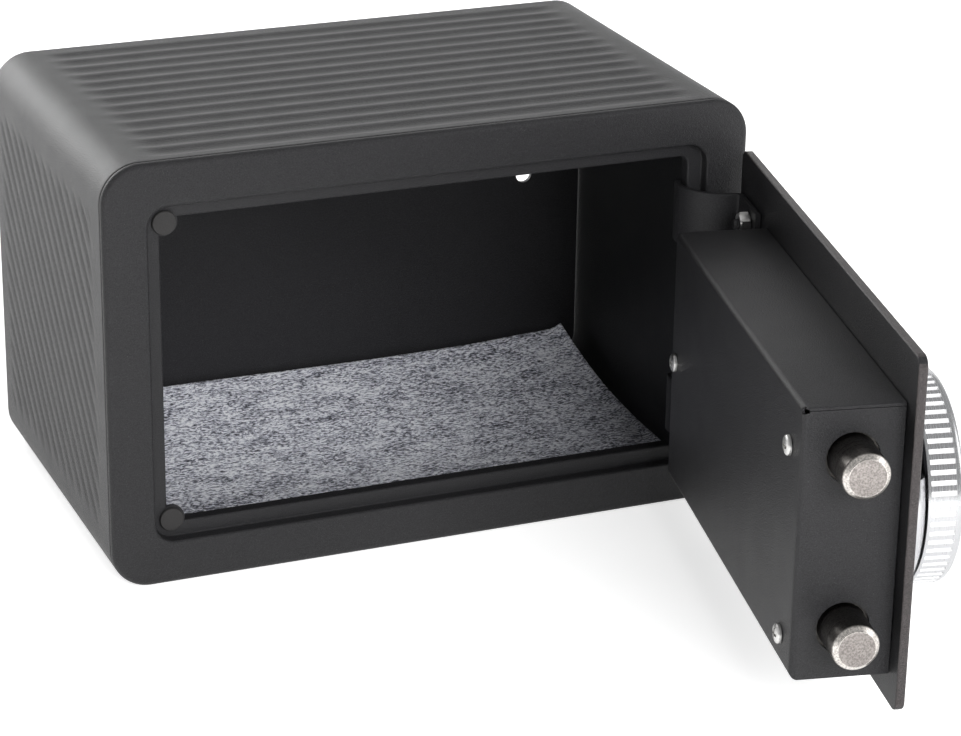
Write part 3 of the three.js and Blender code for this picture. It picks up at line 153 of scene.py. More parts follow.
def make_piece(name, shells, place=standing, crease=32):
    """Puts closed shells into one mesh object: doubles merged, faces outward, and smooth except for edges
    that are sharper than crease."""
    starts = np.cumsum([0] + [len(points) for points, _, _ in shells])
    polygons = []
    for start, (_, faces, _) in zip(starts, shells):
        for group in faces:
            polygons += (group + start).tolist()
    mesh = bpy.data.meshes.new(name)
    mesh.from_pydata(place(np.vstack([points for points, _, _ in shells])), [], polygons)
    along = mesh.attributes.new("along", "FLOAT", "POINT")
    along.data.foreach_set("value", np.concatenate([way for _, _, way in shells]).astype(np.float32))
    tidy_mesh(mesh, crease)
    piece = bpy.data.objects.new(name, mesh)
    scene.collection.objects.link(piece)
    return piece


def tell(*pieces):
    """Prints how many faces each piece has."""
    for piece in pieces:
        print(piece.name, len(piece.data.polygons), "faces")


def tidy_mesh(mesh, crease):
    """Merges points closer than a tenth of a micrometre, turns faces outward and marks sharp edges."""
    work = bmesh.new()
    work.from_mesh(mesh)
    bmesh.ops.remove_doubles(work, verts=work.verts, dist=1e-7)
    bmesh.ops.recalc_face_normals(work, faces=work.faces)
    work.to_mesh(mesh)
    work.free()
    mesh.polygons.foreach_set("use_smooth", np.ones(len(mesh.polygons), bool))
    mesh.set_sharp_from_angle(angle=math.radians(crease))


def cut_away(piece, shells, place=standing, crease=32, overlapping=False):
    """Takes the shells out of the piece with an exact Boolean and keeps the result. Where the piece's own
    shells overlap, the Boolean also joins them."""
    cutter = make_piece("cutter", shells, place)
    modifier = piece.modifiers.new("opening", "BOOLEAN")
    modifier.operation, modifier.solver, modifier.object = "DIFFERENCE", "EXACT", cutter
    modifier.use_self = overlapping
    bpy.context.view_layer.update()
    finished = bpy.data.meshes.new_from_object(piece.evaluated_get(bpy.context.evaluated_depsgraph_get()))
    piece.modifiers.clear()
    piece.data = finished
    finished.set_sharp_from_angle(angle=math.radians(crease))
    bpy.data.objects.remove(cutter)
    return piece


print("mesh helpers ready")

# %% [markdown]
# ### Profiles and outlines
# A turned piece is a profile taken round an axis. A folded sheet is a profile taken round a rounded
# rectangle, with corners that share one centre, as bent metal has them. Both give the grids used above.

# %% Profiles and outlines
def turned_grid(radius, place, angle):
    """A point for each radius and angle: x by the cosine, z by the sine, and y from the row's place."""
    x, z = radius * np.cos(angle), radius * np.sin(angle)
    return np.stack([x, np.broadcast_to(place, x.shape), z], -1)


def lathe(profile, centre, axis="y", sides=96):
    """A profile of (radius, place along the axis) pairs turned full circle about an axis at the centre."""
    angle = np.linspace(0, 2 * np.pi, sides, endpoint=False)
    grid = turned_grid(*np.array(profile, float).T[:, :, None], angle)
    order = {"x": [1, 0, 2], "y": [0, 1, 2], "z": [0, 2, 1]}[axis]
    return skin(grid[..., order] + np.array(centre, float))


def rod(radius, start, end):
    """The profile of a plain cylinder."""
    return [(0, start), (radius, start), (radius, end), (0, end)]


def tube(inner, outer, start, end):
    """The closed profile of a plain tube."""
    return [(inner, start), (outer, start), (outer, end), (inner, end), (inner, start)]


def brick(x, depth, z):
    """A plain box between two values on each axis: two rings of four corners with both ends capped."""
    ring = np.array([(x[0], z[0]), (x[1], z[0]), (x[1], z[1]), (x[0], z[1])], float)
    grid = np.stack([np.insert(ring, 1, place, axis=1) for place in depth])
    return skin(grid, ends=(True, True))


def quarter_turn(steps):
    """Angles of a quarter circle, in even steps."""
    return np.linspace(0, np.pi / 2, steps + 1)


def rounded(start, corner, end, steps=8):
    """A quarter ellipse in place of a corner. Its centre is start plus end less corner, and the two half
    axes are mixed by the cosine and the sine of an even turn."""
    start, corner, end = np.array([start, corner, end], float)
    centre = start + end - corner
    turn = quarter_turn(steps)[:, None]
    return centre + np.cos(turn) * (start - centre) + np.sin(turn) * (end - centre)


def rounded_outline(half_wide, half_high, radius, corner_steps=10, wide_steps=1, high_steps=1):
    """Four quarter circles about their own centres, each followed by even points on the straight run."""
    centres = np.array([(1, 1), (-1, 1), (-1, -1), (1, -1)]) * [half_wide - radius, half_high - radius]
    runs = []
    for corner, centre in enumerate(centres):
        angle = quarter_turn(corner_steps) + corner * np.pi / 2
        normal = np.stack([np.cos(angle), np.sin(angle)], -1)
        arc = centre + radius * normal
        following = centres[(corner + 1) % 4] + radius * normal[-1]
        share = np.linspace(0, 1, (wide_steps if corner % 2 == 0 else high_steps) + 1)[1:-1, None]
        runs += [arc, arc[-1] + share * (following - arc[-1])]
    return np.vstack(runs)


def concentric(corner, places):
    """(inset, depth, corner radius) from (inset, depth): the radius shrinks by the inset."""
    return [(inset, depth, corner - inset) for inset, depth in places]


def body_rings(section, half_wide=BODY_WIDTH / 2, half_high=BODY_HEIGHT / 2, **steps):
    """Rounded rectangles about the body's middle line, one for each (inset, depth, corner radius)."""
    rings = []
    for inset, depth, radius in section:
        ring = rounded_outline(half_wide - inset, half_high - inset, radius, **steps)
        rings.append(np.insert(ring + [0, BODY_HEIGHT / 2], 1, depth, axis=1))
    return np.stack(rings)


def smooth_step(value):
    """Eases from 0 to 1: three times the square less twice the cube, held flat outside that range."""
    value = np.clip(value, 0, 1)
    return value * value * (3 - 2 * value)


print("profile helpers ready")

# %% [markdown]
# ## Finishes
# The body, door and lock cover are powder coated: the powder melts into a matt skin with a fine grain, so
# the bump matters more than the colour. The patterns read Object coordinates, in metres, so one material
# has the same grain on every piece. Lathed metal is different: its fine lines run round the axis, so its
# noise is stretched along the turning and squeezed along the profile, which the "along" attribute gives.

# %% Material helpers
def new_material(name, colour, roughness, metallic=0.0, **extra):
    """A Principled material with plain starting values."""
    material = bpy.data.materials.new(name)
    material.use_nodes = True
    shader = material.node_tree.nodes["Principled BSDF"]
    shader.inputs["Base Color"].default_value = (*colour, 1)
    shader.inputs["Roughness"].default_value = roughness
    shader.inputs["Metallic"].default_value = metallic
    for socket, value in extra.items():
        shader.inputs[socket.replace("_", " ")].default_value = value
    return material


def add_node(material, kind, inputs=(), **settings):
    """Adds a node, sets its properties, and gives each named input a value or a link."""
    tree = material.node_tree
    node = tree.nodes.new(kind)
    for key, value in settings.items():
        setattr(node, key, value)
    for socket, value in dict(inputs).items():
        if isinstance(value, bpy.types.NodeSocket):
            tree.links.new(value, node.inputs[socket])
        else:
            node.inputs[socket].default_value = value
    return node


def maths(material, operation, first, second):
    """One math node on two numbers or links."""
    return add_node(material, "ShaderNodeMath", {0: first, 1: second}, operation=operation).outputs[0]


def blend(material, share, first, second):
    """The first value with a share of the second mixed in."""
    inputs = {"Factor": share, "A": first, "B": second}
    return add_node(material, "ShaderNodeMix", inputs, data_type="FLOAT").outputs["Result"]


def object_place(material):
    """The point's place in its object, in metres."""
    return add_node(material, "ShaderNodeTexCoord").outputs["Object"]


def way_along(material):
    """The way along the profile in millimetres, which skin laid down."""
    return add_node(material, "ShaderNodeAttribute", attribute_name="along").outputs["Fac"]


def grain(material, scale, detail=2.0, place=None, roughness=0.5):
    """Noise of about 1 / scale metres from blob to blob."""
    place = place or object_place(material)
    inputs = {"Vector": place, "Scale": scale, "Detail": detail, "Roughness": roughness}
    return add_node(material, "ShaderNodeTexNoise", inputs).outputs["Fac"]


def ramp(material, factor, stops):
    """A colour ramp from (place, colour) pairs. A bare number is a grey."""
    node = add_node(material, "ShaderNodeValToRGB", {"Fac": factor})
    elements = node.color_ramp.elements
    while len(elements) < len(stops):
        elements.new(0.5)
    for element, (position, colour) in zip(elements, stops):
        element.position = position
        element.color = (colour, colour, colour, 1) if isinstance(colour, (int, float)) else (*colour, 1)
    return node.outputs["Color"]


def mark_faces(piece, material, chosen):
    """Gives the chosen faces a second material."""
    piece.data.materials.append(material)
    piece.data.polygons.foreach_set("material_index", chosen.astype(np.int32))


def feed(material, socket, output):
    """Links an output into the material's shader."""
    shader = material.node_tree.nodes["Principled BSDF"]
    material.node_tree.links.new(output, shader.inputs[socket])


def raise_bump(material, heights):
    """Chains bumps, each from (height, distance in metres), into the shader's normal."""
    normal = None
    for height, distance in heights:
        inputs = {"Height": height, "Strength": 1.0, "Distance": distance}
        if normal:
            inputs["Normal"] = normal
        normal = add_node(material, "ShaderNodeBump", inputs).outputs["Normal"]
    feed(material, "Normal", normal)


print("material helpers ready")

# %% [markdown]
# ### Black powder coat
# Two grains make the skin: one of about a millimetre for the orange peel, one less than half as wide for
# the powder. A slow noise varies the gloss a little, as a hand-sprayed coat does. On the plate's rim the
# coat is rubbed thin and a painted highlight is added, so a lighter, browner coat lies there.

# %% Powder coat
def powder_coat(name, dark, light):
    """Two greys in the grain, and a few specks of lint where the grain peaks."""
    roughness, lint = 0.42, (0.12, 0.12, 0.12)
    material = new_material(name, light, roughness, Specular_IOR_Level=0.38)
    powder, peel = grain(material, 2300), grain(material, 1000)
    tones = [(0.35, dark), (0.68, light), (0.74, light), (0.79, lint)]
    feed(material, "Base Color", ramp(material, powder, tones))
    gloss = grain(material, 60, 1.0)
    feed(material, "Roughness", ramp(material, gloss, [(0.3, roughness - 0.015), (0.7, roughness + 0.015)]))
    raise_bump(material, [(peel, 0.00017), (powder, 0.00024)])
    return material


black_coat = powder_coat("black_powder_coat", (0.009, 0.009, 0.0096), (0.026, 0.0256, 0.0277))
# The worn coat's lighter, browner greys are partly wear and partly a painted highlight on the plate's rim.
worn_highlit_coat = powder_coat("worn_highlit_powder_coat", (0.020, 0.018, 0.018), (0.075, 0.066, 0.066))
print("coats:", black_coat.name, worn_highlit_coat.name)

# %% [markdown]
# ### Metals
# The knob is satin silver with lines turned round its axis. Each bolt has a turned face, a chamfer with a
# painted highlight and a dark shank. The small hardware is zinc plated, which looks mottled and a little
# dull.

# %% Silver, bolt steel, zinc and brass
def turned_metal(name, colour, roughness, lines=4.0, depth=0.00002, metallic=1.0):
    """Metal with fine rings: the noise has so many lines to a millimetre of the profile, from the
    attribute, and is stretched to 40 mm the other two ways."""
    material = new_material(name, colour, roughness, metallic)
    place = add_node(material, "ShaderNodeSeparateXYZ", {"Vector": object_place(material)}).outputs
    squeezed = maths(material, "MULTIPLY", way_along(material), lines)
    spread = [maths(material, "MULTIPLY", place[axis], 25.0) for axis in ("X", "Z")]
    inputs = {"X": squeezed, "Y": spread[0], "Z": spread[1]}
    stretched = add_node(material, "ShaderNodeCombineXYZ", inputs).outputs[0]
    rings = grain(material, 1.0, 3.0, stretched)
    feed(material, "Roughness", ramp(material, rings, [(0.3, roughness - 0.07), (0.7, roughness + 0.09)]))
    raise_bump(material, [(rings, depth)])
    return material


satin_silver = turned_metal("satin_silver", (0.64, 0.645, 0.66), 0.24)
# The slots' finish is near-white and only partly metallic, so the cut metal stays bright: a painted
# highlight.
cut_highlit_silver = turned_metal("cut_highlit_silver", (0.92, 0.92, 0.925), 0.60, metallic=0.35)


def plated(name, dark, light, roughness):
    """Plated metal: one noise mottles its colour and its gloss, and a finer one gives the bump."""
    material = new_material(name, light, roughness, 1.0)
    mottle = grain(material, 350, 4.0)
    feed(material, "Base Color", ramp(material, mottle, [(0.3, dark), (0.7, light)]))
    feed(material, "Roughness", ramp(material, mottle, [(0.3, roughness + 0.08), (0.7, roughness - 0.04)]))
    raise_bump(material, [(grain(material, 2200), 0.00002)])
    return material


def bolt_finish():
    """Turned face, a chamfer with a painted highlight, and a dark shank. The way along the profile, 0 to 20
    mm, picks the colour, and a fine mottle takes up to nearly half of it away."""
    material = turned_metal("worn_nickel", (0.5, 0.47, 0.45), 0.32, 3.0, 0.00003)
    share = maths(material, "DIVIDE", way_along(material), 20.0)
    # The chamfer's near-white colour is a painted highlight; the shank is simply darker.
    face, bright, dark = (0.42, 0.385, 0.365), (0.95, 0.90, 0.85), (0.17, 0.16, 0.15)
    zones = ramp(material, share, [(0.375, face), (0.39, bright), (0.50, bright), (0.53, dark)])
    mottle = ramp(material, grain(material, 1300, 4.0), [(0.36, 0.55), (0.62, 1.0)])
    inputs = {6: zones, 7: mottle, 0: 1.0}
    mixed = add_node(material, "ShaderNodeMix", inputs, data_type="RGBA", blend_type="MULTIPLY")
    feed(material, "Base Color", mixed.outputs[2])
    return material


bolt_nickel = bolt_finish()
zinc = plated("zinc_plate", (0.72, 0.715, 0.70), (0.95, 0.94, 0.92), 0.34)
greased_steel = plated("greased_steel", (0.03, 0.028, 0.026), (0.09, 0.085, 0.08), 0.42)
brass = plated("brass", (0.50, 0.36, 0.14), (0.66, 0.50, 0.22), 0.30)
bright_steel = plated("spring_steel", (0.42, 0.42, 0.43), (0.60, 0.60, 0.61), 0.28)
print("metals:", satin_silver.name, bolt_nickel.name, zinc.name, brass.name)

# %% [markdown]
# ### Plastic, rubber, felt and the inner parts
# Moulded plastic has a fine spark-eroded grain. Rubber is duller. Felt is pressed from fibres of several
# greys, so its colour comes from short streaks in all directions, made here by bending the place that is
# looked up.

# %% Plastics, rubber and inner parts
def moulded(name, colour, roughness, scale=1800):
    """Plastic whose grain runs from three quarters of the colour to the colour itself."""
    material = new_material(name, colour, roughness)
    speck = grain(material, scale)
    darker = tuple(0.75 * part for part in colour)
    feed(material, "Base Color", ramp(material, speck, [(0.3, darker), (0.7, colour)]))
    raise_bump(material, [(speck, 0.00004)])
    return material


black_plastic = moulded("black_plastic", (0.016, 0.016, 0.018), 0.42)
key_plastic = moulded("key_plastic", (0.055, 0.058, 0.062), 0.50)
black_rubber = moulded("black_rubber", (0.030, 0.029, 0.029), 0.72, 1200)
lamp_plastic = moulded("lamp_window", (0.03, 0.05, 0.035), 0.12, 300)
numeral_print = moulded("numeral_print", (0.78, 0.78, 0.78), 0.55, 3000)
circuit_green = moulded("circuit_green", (0.02, 0.11, 0.05), 0.35, 700)
battery_wrap = moulded("battery_wrap", (0.04, 0.10, 0.28), 0.35, 500)
coil_copper = plated("coil_copper", (0.50, 0.20, 0.09), (0.72, 0.34, 0.16), 0.30)
inputs = {"Vector": object_place(coil_copper), "Scale": 320.0}
windings = add_node(coil_copper, "ShaderNodeTexWave", inputs, bands_direction="Z")
raise_bump(coil_copper, [(windings.outputs["Fac"], 0.0002)])
print("plastics and inner parts ready")


# %% Felt
def stretched_grain(material, place, stretch, detail=3.0, roughness=0.6):
    """Noise whose blobs are about 1 / stretch metres long on each axis."""
    mapped = add_node(material, "ShaderNodeMapping", {"Vector": place, "Scale": stretch}).outputs[0]
    return grain(material, 1.0, detail, mapped, roughness)


def felt_finish():
    """Grey heather felt. The place looked up is pushed about by a coarse noise, so that streaks curl like
    fibres: bent = noise * 0.0045 + place. Two streaked noises and wider clouds are blended into one."""
    material = new_material("heather_felt", (0.27, 0.285, 0.33), 0.95, Sheen_Weight=0.12, Sheen_Roughness=0.5)
    place = object_place(material)
    push = add_node(material, "ShaderNodeTexNoise", {"Vector": place, "Scale": 140.0, "Detail": 2.0})
    inputs = {0: push.outputs["Color"], 1: (0.0045, 0.0045, 0.0045), 2: place}
    bent = add_node(material, "ShaderNodeVectorMath", inputs, operation="MULTIPLY_ADD").outputs["Vector"]
    streaks = [stretched_grain(material, bent, stretch) for stretch in ((380, 950, 1100), (640, 800, 1100))]
    clouds = stretched_grain(material, bent, (60, 130, 90), 2.0, 0.5)
    fibres = blend(material, 0.17, blend(material, 0.3, *streaks), clouds)
    tones = [
        (0.40, (0.035, 0.036, 0.046)),
        (0.46, (0.24, 0.246, 0.295)),
        (0.505, (0.60, 0.61, 0.70)),
        (0.56, (0.95, 0.96, 1.0)),
    ]
    feed(material, "Base Color", ramp(material, fibres, tones))
    raise_bump(material, [(fibres, 0.0006)])
    return material


grey_felt = felt_finish()
print("felt:", grey_felt.name)

# %% [markdown]
# ## The ribbed wrapper
# One sheet of steel is bent round into the top, bottom and sides. Ribs are pressed into the top across its
# width and into the sides on the slant, to stiffen the sheet. A displacement modifier could do it, but
# formulas keep control of the section. The top has wide soft valleys between narrow crests, and each groove
# in a side is a cosine bowl. Both repeat at a pitch and fade out where the press pattern ends.

# %% Wrapper
TOP_PITCH, TOP_FIRST, TOP_COUNT, TOP_DEEP, TOP_MARGIN, TOP_FADE = 13, 14.5, 13, 0.85, 21, 13
HALF_VALLEY, HALF_CREST = 4.5, 2.0
SIDE_PITCH, SIDE_WIDE, SIDE_DEEP, SIDE_SLOPE, SIDE_FADE = 9.5, 5.6, 0.62, math.radians(47), 9
FRONT_MARGIN, REAR_MARGIN, LEVEL_MARGIN = 15, 9, 22
FRONT_EDGE, SHEET, EDGE_BREAK, EDGE_HALFWAY, TINY = 4.0, 2.0, 0.45, 0.13, 0.01


def groove(place, width):
    """1 in the middle of a groove, 0 beyond half its width: half of one plus a cosine."""
    return np.where(np.abs(place) < width / 2, 0.5 + 0.5 * np.cos(2 * np.pi * place / width), 0)


def scallop(place):
    """1 in the middle of a valley, 0 on the crests half a pitch away. The slope grows evenly to 1 over half
    a valley and falls evenly to 0 over half a crest, so the height follows the square of the distance."""
    far = np.clip(np.abs(place), 0, TOP_PITCH / 2)
    past = np.maximum(far - HALF_VALLEY, 0)
    crest = HALF_VALLEY / 2 + past - past**2 / (2 * HALF_CREST)
    height = np.where(far < HALF_VALLEY, far**2 / (2 * HALF_VALLEY), crest)
    return 1 - height / (TOP_PITCH / 4)


def press_pattern(grid):
    """How deep each point of the outer skin is pressed in, in millimetres: a rib's form times its fading."""
    x, depth, z = np.moveaxis(grid, -1, 0)
    number = np.clip(np.round((depth - TOP_FIRST) / TOP_PITCH), 0, TOP_COUNT - 1)
    from_side = BODY_WIDTH / 2 - np.abs(x)
    across = smooth_step((from_side - TOP_MARGIN) / TOP_FADE) * (z > BODY_HEIGHT - TINY)
    top = TOP_DEEP * scallop(depth - TOP_FIRST - number * TOP_PITCH) * across
    slant = depth * math.sin(SIDE_SLOPE) - z * math.cos(SIDE_SLOPE)
    repeat = (slant + SIDE_PITCH / 2) % SIDE_PITCH - SIDE_PITCH / 2
    edges = [depth - FRONT_MARGIN, BODY_DEPTH - REAR_MARGIN - depth]
    edges += [z - LEVEL_MARGIN, BODY_HEIGHT - LEVEL_MARGIN - z]
    inside = np.prod([smooth_step(edge / SIDE_FADE) for edge in edges], axis=0) * (from_side < TINY)
    return top, SIDE_DEEP * groove(repeat, SIDE_WIDE) * inside


outer = [(EDGE_BREAK, FRONT_EDGE), (EDGE_HALFWAY, FRONT_EDGE + EDGE_HALFWAY)]
outer += [(0, depth) for depth in np.linspace(FRONT_EDGE + EDGE_BREAK, BODY_DEPTH - EDGE_BREAK, 150)]
outer += [(EDGE_HALFWAY, BODY_DEPTH - EDGE_HALFWAY), (EDGE_BREAK, BODY_DEPTH)]
wrapper_section = concentric(CORNER, outer + [(SHEET, BODY_DEPTH), (SHEET, FRONT_EDGE)])
wrapper_grid = body_rings(wrapper_section, corner_steps=12, wide_steps=90, high_steps=82)
pressed = wrapper_grid[: len(outer)]
top_press, side_press = press_pattern(pressed)
pressed[..., 2] -= top_press
pressed[..., 0] -= side_press * np.sign(pressed[..., 0])
wrapper = make_piece("ribbed_wrapper", [skin(wrapper_grid, round_rows=True)])
print("wrapper:", len(wrapper.data.polygons), "faces, ribs", round(float(top_press.max()), 2), "mm deep")

# %% [markdown]
# ## Front frame
# The front is a second pressing: a border with a rounded outer edge, a recess that the door closes into, a
# ledge it rests on and a lip turned back into the safe. Its profile is carried round the rounded rectangle,
# and each bend is a quarter circle in the profile. Two small ears carry the rubber pads.

# %% Front frame and rear panel
RECESS_CORNER, LIP_CORNER = 30, 31.5
PAD_X, PAD_LEVELS = -125.7, {"upper": 170.7, "lower": 29.3}
STRAP_HEIGHT, STRAP_BOTTOMS = 28, {"upper": 130, "lower": 33}
WINDOW_X, WINDOW_DEPTH, WINDOW_ROOM = (149.5, 153), (3.3, 15), 5.5
TETHER_HOLE = (121.6, 0, 109)


def frame_profile():
    """(inset, depth, corner radius) from the outer edge inwards, back along the lip, and round behind."""
    edge = rounded((0, 2.5), (0, 0), (2.5, 0))
    mouth = rounded((19.3, 0), (20.5, 0), (20.5, 1.2))
    foot = rounded((20.5, 5.2), (20.5, 6), (21.3, 6))
    lip = [*rounded((26.5, 6), (27.5, 6), (27.5, 7)), (27.5, 12), (26, 12), (26, 7.5)]
    ledge_back = [(19, 7.5), (19, 1.5)]
    skirt = [(3.8, 1.5), (3.8, 12), (2.3, 12), (2.3, 3), (0, 3)]
    runs = [(CORNER, edge), (RECESS_CORNER, [*mouth, *foot]), (LIP_CORNER, lip)]
    runs += [(RECESS_CORNER, ledge_back), (CORNER, skirt)]
    return [row for corner, run in runs for row in concentric(corner, run)]


frame_shells = [skin(body_rings(frame_profile(), corner_steps=14), round_rows=True)]
frame_shells += [lathe(rod(6.4, 6.02, 7.5), (PAD_X, 0, level)) for level in PAD_LEVELS.values()]
front_frame = make_piece("pressed_front_frame", frame_shells, crease=40)
windows = [
    brick(WINDOW_X, WINDOW_DEPTH, (bottom - WINDOW_ROOM, bottom + STRAP_HEIGHT + WINDOW_ROOM))
    for bottom in STRAP_BOTTOMS.values()
]
cut_away(front_frame, windows, crease=40)

panel_section = concentric(CORNER, [(2.75, 182.85), (2.3, 183.1), (2.3, 184.5), (2.75, 184.85)])
rear_panel = make_piece("rear_panel", [skin(body_rings(panel_section, corner_steps=12), ends=(True, True))])
cut_away(rear_panel, [lathe(rod(4.25, 178, 190), TETHER_HOLE)])
tell(front_frame, rear_panel)

# %% [markdown]
# ## Felt floor mat
# The mat is a pressed felt sheet 3 mm thick. It is a little wider than the flat floor, so its sides climb
# the bends of the body. It also climbs towards the rear, and its far right corner has curled up. Cloth
# simulation would be slower and no truer for such a stiff sheet: the middle surface is a formula, and the
# felt has half its thickness on each side of it.

# %% Floor mat
MAT_FRONT, MAT_BACK, MAT_HALF_WIDE, MAT_THICKNESS = 13.5, 182.5, 145.0, 3.0
BEND_X, BEND_Z, BEND_RADIUS = 137.0, 18.0, 14.2
REAR_CLIMB, CORNER_CURL, MAT_EDGE = 13.5, 4.0, 1.2


def mat_surface(way, depth):
    """Flat to the bend's centre, then round the bend by the angle that the rest of the way gives. Waves of
    0.35 mm, the climb and the curl are added to the height. Returns points and normals."""
    past = np.maximum(np.abs(way) - BEND_X, 0) / BEND_RADIUS
    x = np.sign(way) * (np.minimum(np.abs(way), BEND_X) + BEND_RADIUS * np.sin(past))
    z = BEND_Z - BEND_RADIUS * np.cos(past)
    normal = np.stack([-np.sign(way) * np.sin(past), np.zeros_like(past), np.cos(past)], -1)
    waves = 0.35 * np.sin(way / 31 + depth / 47) * np.sin(depth / 26 + 1) + 0.35
    z = z + waves * smooth_step((BEND_X - np.abs(way)) / 20)
    z = z + REAR_CLIMB * np.clip((depth - 70) / 112, 0, 1) ** 1.8
    z = z + CORNER_CURL * np.clip((way - 75) / 70, 0, 1) ** 2 * np.clip((depth - 110) / 72, 0, 1) ** 2
    return np.stack([x, depth, z], -1), normal


way_run = np.linspace(-MAT_HALF_WIDE, MAT_HALF_WIDE, 194)
depth_run = np.linspace(MAT_FRONT, MAT_BACK, 114)
way, depth = np.meshgrid(np.concatenate([way_run, way_run[::-1]]), depth_run)
side = np.where(np.arange(way.shape[1]) < len(way_run), 0.5, -0.5)
nearest = np.minimum.reduce([MAT_HALF_WIDE - np.abs(way), depth - MAT_FRONT, MAT_BACK - depth])
inwards = np.clip(nearest / MAT_EDGE, 0, 1)
rounding = np.sqrt(inwards * (2 - inwards))
middle, mat_normal = mat_surface(way, depth)
thickness = (side * MAT_THICKNESS * rounding)[..., None]
floor_mat = make_piece("felt_floor_mat", [skin(middle + thickness * mat_normal)], crease=80)
tell(floor_mat)

# %% [markdown]
# ## Rubber pads
# Two round pads in the left corners of the ledge keep the closed door from rattling.

# %% Pads
pad_edge = rounded((5.5, 4.8), (5.5, 4.2), (4.9, 4.2), 6)
pad_profile = [(0, 5.7), (5.5, 5.7), *pad_edge, (0, 4.15)]
pads = {
    name: make_piece(f"corner_pad_{name}", [lathe(pad_profile, (PAD_X, 0, level), sides=64)])
    for name, level in PAD_LEVELS.items()
}
tell(*pads.values())

# %% [markdown]
# ## Hinge straps
# Each strap is a bent strip: a foot on the door, an arc that reaches round the frame's lip when the door
# closes, and an eye on the pin. The strip is a thin rounded rectangle carried along that path. The nut on
# each stud is a lathe too, with a hexagon's radius instead of a circle's.

# %% Straps, studs and nuts
STRAP_THICKNESS, ARC_RADIUS = 2.5, 21.75
FOOT_MIDDLE = 4.3 + STRAP_THICKNESS / 2
FOOT_ANGLE = math.pi + math.asin((PIVOT_DEPTH - FOOT_MIDDLE) / ARC_RADIUS)
ARM_ANGLE = math.radians(86)
EYE_BORE, EYE_RADIUS, HINGE = 2.8, 4.3, (PIVOT_X, PIVOT_DEPTH, 0)
STUD_X, STUD_LEVELS = 105.61, {"upper": 150, "lower": 41}


def on_arc(angle, radius=ARC_RADIUS):
    """Points in plan at the radius and angles about the pivot."""
    return np.array([PIVOT_X + radius * np.cos(angle), PIVOT_DEPTH + radius * np.sin(angle)]).T


def bend(start, corner, end, steps=8):
    """A quadratic curve: it leaves along start to corner and arrives along corner to end."""
    t = np.linspace(0, 1, steps + 1)[:, None]
    return (1 - t) ** 2 * start + 2 * t * (1 - t) * corner + t**2 * end


def strap_path():
    """Foot, bend, arc, bend and arm, as points in plan from the foot's end to the eye."""
    foot = on_arc(FOOT_ANGLE)
    ease = 4 / ARC_RADIUS
    first = bend(np.array([foot[0] - 4, FOOT_MIDDLE]), foot, on_arc(FOOT_ANGLE - ease))
    arc = on_arc(np.linspace(FOOT_ANGLE - ease, ARM_ANGLE + ease, 30))[1:-1]
    second = bend(on_arc(ARM_ANGLE + ease), on_arc(ARM_ANGLE), on_arc(ARM_ANGLE, ARC_RADIUS - 4))
    return np.vstack([[foot[0] - 30, FOOT_MIDDLE], first, arc, second, on_arc(ARM_ANGLE, 3.4)])


def strip(path, bottom, height, thickness):
    """The path's direction, turned a quarter, gives the way across. A rounded rectangle of thickness by
    height stands on it."""
    direction = np.gradient(path, axis=0)
    direction /= np.linalg.norm(direction, axis=1, keepdims=True)
    across = np.stack([direction[:, 1], -direction[:, 0]], -1)
    ring = rounded_outline(thickness / 2, height / 2, 0.5, corner_steps=3)
    plan = path[:, None, :] + ring[None, :, :1] * across[:, None, :]
    level = np.broadcast_to(bottom + height / 2 + ring[:, 1], plan.shape[:2])
    return skin(np.concatenate([plan, level[..., None]], -1), ends=(True, True))


def hexagon_nut(level):
    """A grid whose radius is a hexagon's or its row's limit, the smaller of the two at every angle."""
    angle = np.linspace(0, 2 * np.pi, 96, endpoint=False)
    hexagon = 5.0 / np.cos((angle + np.pi / 6) % (np.pi / 3) - np.pi / 6)
    rows = [(2.75, 7.1), (4.85, 7.1), (5.9, 7.7), (5.9, 11.5), (4.85, 12.1), (3.3, 12.1), (2.75, 11.6)]
    limit, place = np.array(rows).T[:, :, None]
    grid = turned_grid(np.minimum(hexagon, limit), place, angle)
    return skin(grid + [STUD_X, 0, level], round_rows=True)


straps, eyes = {}, {}
for name, bottom in STRAP_BOTTOMS.items():
    top = bottom + STRAP_HEIGHT
    shell = strip(strap_path(), bottom, STRAP_HEIGHT, STRAP_THICKNESS)
    strap = make_piece(f"hinge_strap_skin_{name}", [shell], swung)
    pin_bore = lathe(rod(EYE_BORE, bottom - 2, top + 2), HINGE, "z", 48)
    stud_hole = lathe(rod(3.2, 2, 9), (STUD_X, 0, STUD_LEVELS[name]), sides=32)
    straps[name] = cut_away(strap, [pin_bore, stud_hole], swung)
    eye = lathe(tube(EYE_BORE, EYE_RADIUS, bottom, top), HINGE, "z", 48)
    eyes[name] = make_piece(f"hinge_eye_{name}", [eye], swung)
nuts = {
    name: make_piece(f"hexagon_nut_{name}", [hexagon_nut(level)], swung, 25)
    for name, level in STUD_LEVELS.items()
}
tell(*straps.values(), *nuts.values())

# %% [markdown]
# ## Door plate
# The plate is 4 mm steel with a softly broken edge. The studs for the straps are welded to it and threaded,
# so their profile is a row of small ridges. The posts that guide the bolt carriage and the post that holds
# the cover's screw are welded on too.

# %% Door plate
PLATE_HALF_WIDE, PLATE_HALF_HIGH, PLATE_CORNER, PLATE_THICKNESS = 132.3, 77.3, 5, 4.0
KNOB_X, KNOB_Z = -60.5, 95.5
WELD_DEPTH, COVER_SCREW_X = 3.5, 76.5


def threaded(radius, start, end, pitch):
    """A rod whose radius is 0.28 less at every second half pitch, and which ends in a small chamfer."""
    place = np.arange(start, end - 0.8, pitch / 2)
    wave = radius - 0.28 * (np.arange(len(place)) % 2)
    return [(0, start), *zip(wave, place), (radius - 0.7, end), (0, end)]


